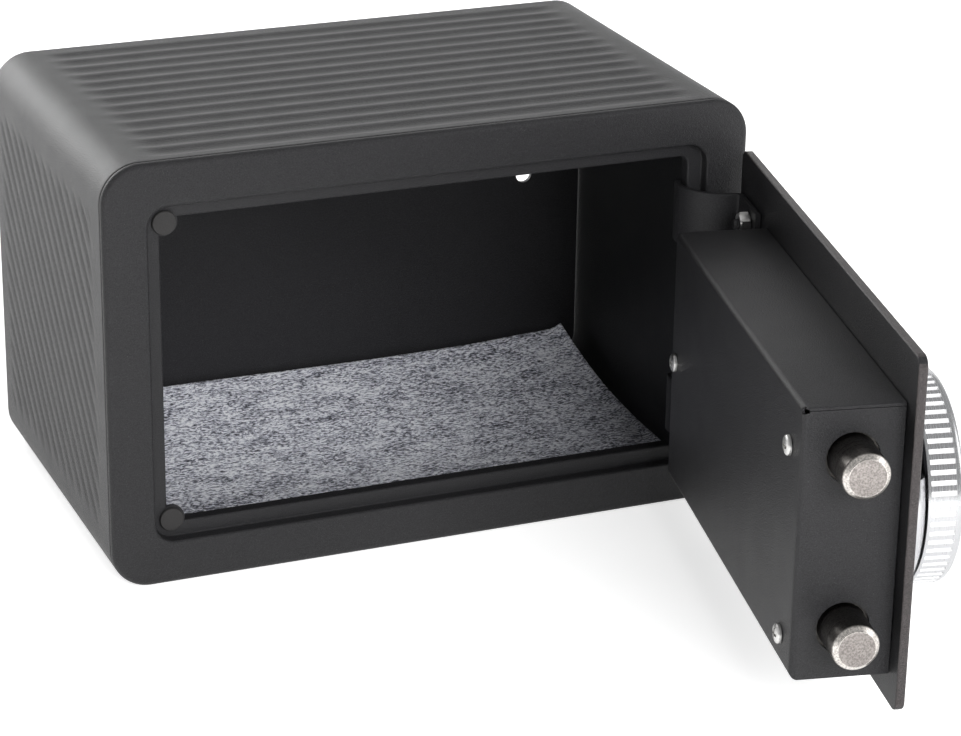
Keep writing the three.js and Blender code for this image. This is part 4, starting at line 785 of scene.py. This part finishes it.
plate_edge = rounded((0.7, 0), (0, 0), (0, 0.7), 6)
plate_section = concentric(PLATE_CORNER, [*plate_edge, *(plate_edge[::-1] * [1, -1] + [0, PLATE_THICKNESS])])
plate_shells = [skin(body_rings(plate_section, PLATE_HALF_WIDE, PLATE_HALF_HIGH), ends=(True, True))]
for level in STUD_LEVELS.values():
    plate_shells.append(lathe(threaded(2.65, WELD_DEPTH, 14.5, 0.8), (STUD_X, 0, level), sides=32))
guide_post = [(0, WELD_DEPTH), (4, WELD_DEPTH), (4, 13.7), (2.5, 13.7), (2.5, 16.3)]
guide_post += [(5, 16.3), (5, 17.6), (4.2, 18.3), (0, 18.3)]
for level in (KNOB_Z + 38, KNOB_Z - 38):
    plate_shells.append(lathe(guide_post, (KNOB_X + 10.5, 0, level), sides=32))
plate_shells.append(lathe(tube(2.05, 5, 44.7, WELD_DEPTH), (COVER_SCREW_X, 0, KNOB_Z), sides=32))
door_plate = make_piece("door_plate_skin", plate_shells, swung, 40)
tell(door_plate)

# %% [markdown]
# ## Lock cover
# The lock sits in a folded steel box. Flat walls and small bends are rings again: each ring is the plan
# outline clipped to a smaller rectangle, and the inset follows a quarter circle through the bend. The end
# walls are folded flaps, so a fine seam shows where they meet the top wall, and a small relief hole is
# punched at each upper corner so that the sheet doesn't tear. The bottom wall has a wider bend.

# %% Lock cover
COVER = {"left": -122.5, "right": 85.0, "bottom": 36.0, "top": 155.0, "front": 4.3, "back": 46.3}
COVER_SHEET, COVER_BEND, LOWER_BEND, COVER_BREAK, SEAM = 1.3, 2.4, 4.5, 0.25, 0.35
BOLT_LEVELS, BOLT_DEPTH = {"upper": 132.5, "lower": 58.5}, 25.0


def cover_ring(inset, lower, seam):
    """The plan outline, clipped to the rectangle at this inset, with the bottom wall at an inset of its
    own. Each upper corner has a seam's notch beside it."""
    wide = (COVER["right"] - COVER["left"]) / 2
    high = (COVER["top"] - COVER["bottom"]) / 2
    softened = [(wide, high - 0.5), (wide - 0.15, high - 0.15), (wide - 0.5, high)]
    upper = np.array([(wide, high - 1.75), (wide - seam, high - 1.55), (wide, high - 1.35)] + softened)
    below = np.array(softened[::-1]) * [1, -1]
    ring = np.vstack([upper, upper[::-1] * [-1, 1], below[::-1] * [-1, 1], below])
    clipped = np.clip(ring, [inset - wide, lower - high], [wide - inset, high - inset])
    return clipped + [(COVER["right"] + COVER["left"]) / 2, (COVER["top"] + COVER["bottom"]) / 2]


def drawn_in(depth, radius, back):
    """How far a wall has turned in at this depth, round a quarter circle that ends at the back."""
    into = np.clip(depth - back + radius, 0, radius)
    return radius - np.sqrt(radius**2 - into**2)


def cover_bend(sheet, steps=14):
    """(inset, inset of the bottom wall, depth) round both bends from the back, one sheet in if asked."""
    back = COVER["back"] - sheet
    depth = back - (LOWER_BEND - sheet) * (1 - np.cos(quarter_turn(steps)))
    insets = [sheet + drawn_in(depth, radius - sheet, back) for radius in (COVER_BEND, LOWER_BEND)]
    return list(zip(*insets, depth))


def cover_rows():
    """Outer back, bends, wall and rim, then the same inside. The last value is how deep the seams are."""
    rim, hem = COVER["front"], COVER["front"] + COVER_BREAK
    outside = cover_bend(0) + [(0, 0, hem), (COVER_BREAK, COVER_BREAK, rim)]
    inner_rim = COVER_SHEET - COVER_BREAK
    inside = [(inner_rim, inner_rim, rim), (COVER_SHEET, COVER_SHEET, hem)] + cover_bend(COVER_SHEET)[::-1]
    return [(*row, SEAM) for row in outside] + [(*row, 0) for row in inside]


cover_rings = [
    np.insert(cover_ring(inset, lower, seam), 1, depth, axis=1) for inset, lower, depth, seam in cover_rows()
]
lock_cover = make_piece("lock_cover_skin", [skin(np.stack(cover_rings), ends=(True, True))], swung, 30)
bolt_hole, relief_hole = rod(11.2, -126, -119), rod(1.5, 43.6, 48)
openings = [lathe(bolt_hole, (0, BOLT_DEPTH, level), "x") for level in BOLT_LEVELS.values()]
for x in (COVER["left"] + COVER_SHEET, COVER["right"] - COVER_SHEET):
    openings.append(lathe(relief_hole, (x, 0, COVER["top"] - 1.6), sides=24))
cut_away(lock_cover, openings, swung, 30)
tell(lock_cover)

# %% [markdown]
# ## Cover screws
# Pan-head screws with a cross recess. The head is lathed, and the cross is cut with two bricks.

# %% Screws
SCREW_PLACES = [(-107.0, 133.0), (-107.0, 50.0), (COVER_SCREW_X, KNOB_Z)]
CROSS_LONG, CROSS_WIDE, CROSS_DEPTH = 5.4, 1.3, (47.1, 51)

crown = rounded((4.2, 47.6), (4.2, 49), (0, 49), 10)
pan_head = [(0, 39.6), (1.75, 39.6), (1.75, 46.6), (4.2, 46.6), *crown]
screws = []
for number, (x, z) in enumerate(SCREW_PLACES, 1):
    screw = make_piece(f"cross_screw_{number}", [lathe(pan_head, (x, 0, z), sides=48)], swung)
    for wide, high in ((CROSS_LONG, CROSS_WIDE), (CROSS_WIDE, CROSS_LONG)):
        slit = brick((x - wide / 2, x + wide / 2), CROSS_DEPTH, (z - high / 2, z + high / 2))
        cut_away(screw, [slit], swung)
    screws.append(screw)
tell(*screws)

# %% [markdown]
# ## Bolts
# Two turned steel bars with a chamfered tip. The profile goes from the face over the chamfer, whose edges
# are softened, and along the shank to the riveted spigot that holds the bar to its carriage.

# %% Bolts
bolt_profile = [
    (0, -142.5), (7.6, -142.5), (7.85, -142.42), (9.75, -140.6), (9.95, -140.3), (10, -139.9),
    (10, -92.0), (3, -92.0), (3, -89.4), (4.5, -89.4), (4.5, -88.0), (3.9, -87.4), (0, -87.4),
]
bolts = {
    name: make_piece(f"locking_bolt_{name}", [lathe(bolt_profile, (0, BOLT_DEPTH, level), "x")], swung, 20)
    for name, level in BOLT_LEVELS.items()
}
tell(*bolts.values())

# %% [markdown]
# ## The knob
# A silver collar, cut off flat above, lies on the door round a black neck. The grip ring turns in front of
# it, with short slots milled into its rim. Inside the ring is a black head with twelve number keys, a lamp
# window and a small emergency lock.

# %% Collar and neck
KNOB = (KNOB_X, 0, KNOB_Z)
COLLAR_FLAT = 18.0


def knob_piece(name, profile, sides=144):
    """A door piece lathed about the knob's axis."""
    return make_piece(name, [lathe(profile, KNOB, sides=sides)], swung)


def collar():
    """A profile of (radius, depth) swept from flat end to flat end. At each radius the sweep stops where
    the circle meets the flat, at the angle whose sine is the flat's height over the radius."""
    outside = [(40.3, -0.3), (48.7, -0.3), (49, -0.6), (49, -9.0), (48.8, -9.4), (46.4, -11.8)]
    face = [(46, -12.0), (40.6, -12.0), (40.3, -11.7)]
    radius, place = np.array(outside + face).T[:, :, None]
    reach = np.arcsin(COLLAR_FLAT / radius)
    angle = (np.pi - reach) + np.linspace(0, 1, 181) * (np.pi + 2 * reach)
    points, faces, _ = skin(turned_grid(radius, place, angle) + KNOB, round_columns=False, round_rows=True)
    number = np.arange(angle.size).reshape(angle.shape)
    faces += [number[:, 0][None, :], number[::-1, -1][None, :]]
    return points, faces, np.broadcast_to(-place, angle.shape).ravel()


knob_collar = make_piece("knob_collar", [collar()], swung, 25)
neck_profile = [(8, -0.3), (40, -0.3), (40, -11.6), (39.6, -12), (8, -12), (8, -0.3)]
knob_neck = knob_piece("knob_neck_skin", neck_profile)
tell(knob_collar, knob_neck)

# %% [markdown]
# ### Grip ring
# The ring is one lathe whose radius drops inside each of its 66 slots. Columns lie close together at the
# walls of a slot, so that the walls come out steep with few faces.

# %% Grip ring
SLOTS, SLOT_DEEP = 66, 0.9
slot_share = np.array([-0.5, -0.36, -0.245, -0.205, -0.12, 0, 0.12, 0.205, 0.245, 0.36])
from_top = ((np.arange(SLOTS)[:, None] + slot_share) * 2 * np.pi / SLOTS).ravel()
in_slot = np.tile((np.abs(slot_share) < 0.22).astype(float), SLOTS)

ring_rear = [(38, -13.3), (44.9, -13.3), (45.35, -13.5), (45.5, -13.9), (45.5, -14.75)]
ring_slotted = [(45.5, -14.9), (45.5, -20), (45.5, -25.5)]
ring_front = [(45.5, -25.65), *rounded((45.5, -26.3), (45.5, -29.3), (42.5, -29.3))]
ring_front += [(38.6, -29.3), (38.2, -29.15), (38, -28.8)]
ring_radius, ring_place = np.array(ring_rear + ring_slotted + ring_front).T[:, :, None]
sunk = np.zeros_like(ring_radius)
sunk[len(ring_rear) : len(ring_rear + ring_slotted)] = SLOT_DEEP
ring_grid = turned_grid(ring_radius - sunk * in_slot, ring_place, np.pi / 2 - from_top) + KNOB
knob_ring = make_piece("slotted_grip_ring", [skin(ring_grid, round_rows=True)], swung, 40)
tell(knob_ring)

# %% [markdown]
# ### Head, keypad face and lock
# The head is a cup. The face is a disc with a hole for each key, cut with cylinders. Each key is a low
# button, and its number is text made into a thin mesh, because printing on a real key is raised by a few
# hundredths.

# %% Head and face
FACE_FRONT, FACE_BACK, KEY_FRONT, KEY_BACK, EDGE_END = -28.9, -27.3, -29.7, -27.6, -28.6
CUT_FRONT, CUT_BACK = -33, -24
KEY_CIRCLE, KEY_RADIUS, KEY_GAP = 25.5, 4.3, 0.3
KEY_ANGLES = np.arange(12) * np.pi / 6
KEY_X, KEY_Z = KNOB_X + KEY_CIRCLE * np.sin(KEY_ANGLES), KNOB_Z + KEY_CIRCLE * np.cos(KEY_ANGLES)

head_front = [(37.6, -28.7), (37.4, FACE_FRONT), (36.3, FACE_FRONT), (36.1, -28.7)]
head_profile = [(5.8, -13.6), (37.6, -13.6), *head_front, (36.1, -15.1), (5.8, -15.1), (5.8, -13.6)]
knob_head = knob_piece("knob_head_skin", head_profile)
face_edge = [(35.5, FACE_FRONT), (35.8, EDGE_END), (35.8, FACE_BACK), (7.3, FACE_BACK)]
keypad_face = knob_piece("keypad_face_skin", [(7.3, FACE_FRONT), *face_edge, (7.3, FACE_FRONT)])


def lamp_ring(gap, depth):
    """The lamp window's outline, a bar with round ends, grown by gap."""
    ring = rounded_outline(6 + gap, 1.4 + gap, 1.39 + gap, corner_steps=8)
    return np.insert(ring + [KNOB_X, KNOB_Z + 14.6], 1, depth, axis=1)


key_hole = rod(KEY_RADIUS + KEY_GAP, CUT_FRONT, CUT_BACK)
cut_away(keypad_face, [lathe(key_hole, (x, 0, z), sides=48) for x, z in zip(KEY_X, KEY_Z)], swung)
lamp_hole = [lamp_ring(KEY_GAP, depth) for depth in (CUT_FRONT, CUT_BACK)]
cut_away(keypad_face, [skin(np.stack(lamp_hole), ends=(True, True))], swung)
lens_rows = [lamp_ring(-0.25, -29.2), lamp_ring(-0.07, -29.13), lamp_ring(0, -28.95), lamp_ring(0, KEY_BACK)]
lamp_window = make_piece("lamp_window_skin", [skin(np.stack(lens_rows), ends=(True, True))], swung)
tell(knob_head, keypad_face, lamp_window)

# %% Keys with their numbers
KEY_MARKS = ["1", "2", "3", "4", "5", "6", "7", "8", "9", "0", "*", "#"]


def printed_mark(mark, x, z):
    """A character nearly 4 mm high as a thin slab on the key, facing the reader in front of the closed
    door. Its outline is centred, its thickness points out of the key."""
    text = bpy.data.curves.new("mark", "FONT")
    text.body, text.size, text.extrude = mark, 5.2, 0.03
    text.align_x, text.align_y = "CENTER", "CENTER"
    holder = bpy.data.objects.new("mark", text)
    scene.collection.objects.link(holder)
    bpy.context.view_layer.update()
    flat = bpy.data.meshes.new_from_object(holder.evaluated_get(bpy.context.evaluated_depsgraph_get()))
    bpy.data.objects.remove(holder)
    points = np.zeros(len(flat.vertices) * 3)
    flat.vertices.foreach_get("co", points)
    across, upward, outward = points.reshape(-1, 3).T
    x_place = x + across - (across.max() + across.min()) / 2
    z_place = z + upward - (upward.max() + upward.min()) / 2
    on_key = np.stack([x_place, KEY_FRONT - outward - 0.01, z_place], -1)
    flat.vertices.foreach_set("co", swung(on_key).ravel())
    tidy_mesh(flat, 40)
    return flat


key_rim = rounded((3.8, KEY_FRONT), (KEY_RADIUS, KEY_FRONT), (KEY_RADIUS, -29.2), 5)
key_profile = [(0, KEY_FRONT), *key_rim, (KEY_RADIUS, KEY_BACK), (0, KEY_BACK)]
keys = []
for number, (x, z, mark) in enumerate(zip(KEY_X, KEY_Z, KEY_MARKS), 1):
    key = make_piece(f"number_key_{number}", [lathe(key_profile, (x, 0, z), sides=48)], swung)
    key.data.materials.append(key_plastic)
    work = bmesh.new()
    work.from_mesh(key.data)
    body_faces = len(work.faces)
    work.from_mesh(printed_mark(mark, x, z))
    work.to_mesh(key.data)
    work.free()
    mark_faces(key, numeral_print, np.arange(len(key.data.polygons)) >= body_faces)
    keys.append(key)
tell(*keys)

# %% [markdown]
# ### Emergency lock
# A brass plug turns in a plated housing when the battery is flat, and its flat tail reaches back towards
# the lock. The tail's brick runs into the plug, so the Boolean that cuts the keyway also joins the two.

# %% Emergency lock
PLUG_BACK, TAIL_FRONT, TAIL_BACK, KEYWAY_BOTTOM = -17.2, -21.2, 20.9, -24.9

cylinder_edge = [(6.7, FACE_FRONT), (7, EDGE_END), (7, PLUG_BACK)]
cylinder_profile = [(4.9, FACE_FRONT), *cylinder_edge, (4.9, PLUG_BACK), (4.9, FACE_FRONT)]
key_cylinder = knob_piece("lock_cylinder_skin", cylinder_profile, 64)
plug_profile = [(0, EDGE_END), (4.3, EDGE_END), (4.6, -28.4), (4.6, PLUG_BACK), (0, PLUG_BACK)]
tail = brick((KNOB_X - 1.1, KNOB_X + 1.1), (TAIL_FRONT, TAIL_BACK), (KNOB_Z - 2.2, KNOB_Z + 2.2))
key_plug = make_piece("lock_plug_skin", [lathe(plug_profile, KNOB, sides=64), tail], swung)
keyway = brick((KNOB_X - 0.7, KNOB_X + 0.7), (CUT_FRONT, KEYWAY_BOTTOM), (KNOB_Z - 3, KNOB_Z + 3))
cut_away(key_plug, [keyway], swung, overlapping=True)
tell(key_cylinder, key_plug)

# %% [markdown]
# ## Putting the pieces on their bodies
# Each skin rides on the body of the CAD node that it stands for, and that node is then hidden. The nodes
# that stay are those inside the lock and the knob. They keep their CAD shape and get a finish of their own.

# %% Dress and ride
SLOT_FINISHES = {
    "black_powder_coat": black_coat, "grey_felt": grey_felt, "black_rubber": black_rubber,
    "satin_silver": satin_silver, "black_plastic": black_plastic, "lamp_window": lamp_plastic,
    "zinc_plated_steel": zinc, "bolt_steel": bolt_nickel, "brass": brass,
}


def dress(piece, body, slot, *replaced):
    """Gives a piece its slot's finish, puts it on its body and hides the nodes that it stands for."""
    piece.data.materials.clear()
    piece.data.materials.append(SLOT_FINISHES[slot])
    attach(piece, body)
    if replaced:
        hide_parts(*replaced)


dress(wrapper, "safe_body", "black_powder_coat", "body_wrapper")
dress(front_frame, "safe_body", "black_powder_coat", "front_frame")
dress(rear_panel, "safe_body", "black_powder_coat", "back_panel")
dress(floor_mat, "safe_body", "grey_felt", "floor_mat")
dress(door_plate, "door", "black_powder_coat", "door_plate")
dress(lock_cover, "door", "black_powder_coat", "lock_cover")
dress(knob_collar, "door", "satin_silver", "knob_base")
dress(knob_neck, "door", "black_plastic", "knob_neck")
dress(knob_ring, "knob", "satin_silver", "knob_ring")
dress(knob_head, "knob", "black_plastic", "knob_head")
dress(keypad_face, "knob", "black_plastic", "keypad_face")
dress(lamp_window, "knob", "lamp_window", "lamp_lens")
dress(key_cylinder, "knob", "zinc_plated_steel", "key_cylinder")
dress(key_plug, "emergency_plug", "brass", "key_plug")
for name in ("upper", "lower"):
    dress(pads[name], "safe_body", "black_rubber", f"bumper_pad_{name}")
    dress(straps[name], "door", "black_powder_coat", f"hinge_strap_{name}")
    dress(eyes[name], "door", "black_powder_coat")
    dress(nuts[name], "door", "zinc_plated_steel", f"hinge_nut_{name}")
    dress(bolts[name], "bolt_work", "bolt_steel", f"bolt_{name}")
for number, screw in enumerate(screws, 1):
    dress(screw, "door", "zinc_plated_steel", f"cover_screw_{number}")
for number, key in enumerate(keys, 1):
    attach(key, f"key_{number}")
    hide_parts(f"key_{number}")

# The slots get cut silver with a painted highlight, and the plate's rim a worn coat with a painted highlight.
x, depth, z = closed_centres(knob_ring.data)
radius = np.hypot(x - KNOB_X, z - KNOB_Z)
mark_faces(knob_ring, cut_highlit_silver, (radius > 44.3) & (radius < 45.3) & (depth < -14.9) & (depth > -25.6))
# The plate's rim gets the worn coat: wear together with a painted highlight along the edge.
x, depth, z = closed_centres(door_plate.data)
on_rim = (np.abs(x) > PLATE_HALF_WIDE - 0.6) | (np.abs(z - BODY_HEIGHT / 2) > PLATE_HALF_HIGH - 0.6)
mark_faces(door_plate, worn_highlit_coat, on_rim & (depth < PLATE_THICKNESS))

inner_finishes = [
    (zinc, "hinge_pin_upper", "hinge_pin_lower", "bolt_carriage", "solenoid_frame", "spindle", "cam"),
    (zinc, "base_screw_left", "base_screw_right"),
    (black_coat, "hinge_bracket_upper", "hinge_bracket_lower"),
    (bright_steel, "solenoid_plunger", "plunger_spring", "spindle_clip"),
    (circuit_green, "lock_board", "keypad_board"),
    (battery_wrap, "battery_1", "battery_2", "battery_3"),
    (greased_steel, "bolt_guide_bracket"), (coil_copper, "solenoid_coil"),
    (brass, "spindle_bush"), (black_plastic, "battery_tray"),
]
finished = set()
for material, *names in inner_finishes:
    for name in names:
        nodes[name].data.materials.clear()
        nodes[name].data.materials.append(material)
    finished.update(names)
still_bare = sorted(name for name in nodes if not nodes[name].hide_render and name not in finished)
print("inner nodes:", len(finished), "without a finish:", still_bare)

# %% [markdown]
# ## Floor and light
# The photograph is taken on white, so the floor is a white sheet that curves up behind the safe. It glows
# for the camera and for mirrored rays but lights nothing, and lies a fifth of a millimetre below the safe
# so that the two never share a plane. Soft lamps stand behind on the left, in front, over the sheet's rise
# and, weakly, on the right. The front one isn't mirrored, or the black top would glare from behind.

# %% Floor, world and lamps
PAPER_HALF_WIDE, PAPER_DROP = 5000, -0.2
paper_run = np.vstack([(-3000, 0), *rounded((1600, 0), (2500, 0), (2500, 900), 24), (2500, 1700)])
paper_run += [BODY_DEPTH / 2, PAPER_DROP]
paper_grid = np.stack([np.insert(paper_run, 0, x, axis=1) for x in (-PAPER_HALF_WIDE, PAPER_HALF_WIDE)], 1)
backdrop = make_piece("backdrop", [skin(paper_grid, round_columns=False)])


def strength_by_ray(holder, camera_ray, mirrored_ray, other):
    """A strength for rays from the camera, one for rays mirrored or let through, and one for all others."""
    rays = add_node(holder, "ShaderNodeLightPath").outputs
    mirrored = maths(holder, "MAXIMUM", rays["Is Glossy Ray"], rays["Is Transmission Ray"])
    inputs = {"Value": mirrored, "To Min": other, "To Max": mirrored_ray}
    indirect = add_node(holder, "ShaderNodeMapRange", inputs).outputs[0]
    inputs = {"Value": rays["Is Camera Ray"], "To Min": indirect, "To Max": camera_ray}
    return add_node(holder, "ShaderNodeMapRange", inputs).outputs[0]


white_paper = new_material("white_paper", (0.90, 0.90, 0.90), 0.9, Emission_Color=(1, 1, 1, 1))
feed(white_paper, "Base Color", ramp(white_paper, grain(white_paper, 30, 1.0), [(0.3, 0.89), (0.7, 0.91)]))
feed(white_paper, "Emission Strength", strength_by_ray(white_paper, 0.60, 0.3, 0.0))
backdrop.data.materials.append(white_paper)
backdrop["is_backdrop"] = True

world = bpy.data.worlds.new("studio")
scene.world = world
world.use_nodes = True
background = world.node_tree.nodes["Background"]
background.inputs["Color"].default_value = (1, 1, 1, 1)
world.node_tree.links.new(strength_by_ray(world, 1.0, 0.42, 0.36), background.inputs["Strength"])


def soft_lamp(name, place, target, size, watts):
    """A square area lamp whose -Z looks from its place at its target."""
    data = bpy.data.lights.new(name, "AREA")
    data.energy, data.size = watts, size
    lamp = bpy.data.objects.new(name, data)
    scene.collection.objects.link(lamp)
    lamp.location = place
    lamp.rotation_euler = (Vector(target) - Vector(place)).to_track_quat("-Z", "Y").to_euler()
    return lamp


soft_lamp("lamp_rear_left", (-0.8, 1.7, 0.85), (0, 0, 0.15), 1.2, 24)
lamp_front = soft_lamp("lamp_front", (0.02, -1.95, 0.86), (0, 0, 0.08), 1.0, 48)
lamp_front.visible_glossy = False
soft_lamp("lamp_backdrop", (0.6, 1.2, 2.0), (0.9, 2.5, 1.0), 0.9, 19)
soft_lamp("lamp_right", (1.5, -0.9, 0.7), (0.1, -0.2, 0.1), 0.9, 5)
scene.view_settings.view_transform = "Standard"
print("studio ready")

# %% Compare the box with the CAD model and finish
size = {"cad": cad_box, "visual": [list(corner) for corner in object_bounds()]}
for label, (low, high) in size.items():
    print(f"{label} size:", [round(b - a, 4) for a, b in zip(low, high)])
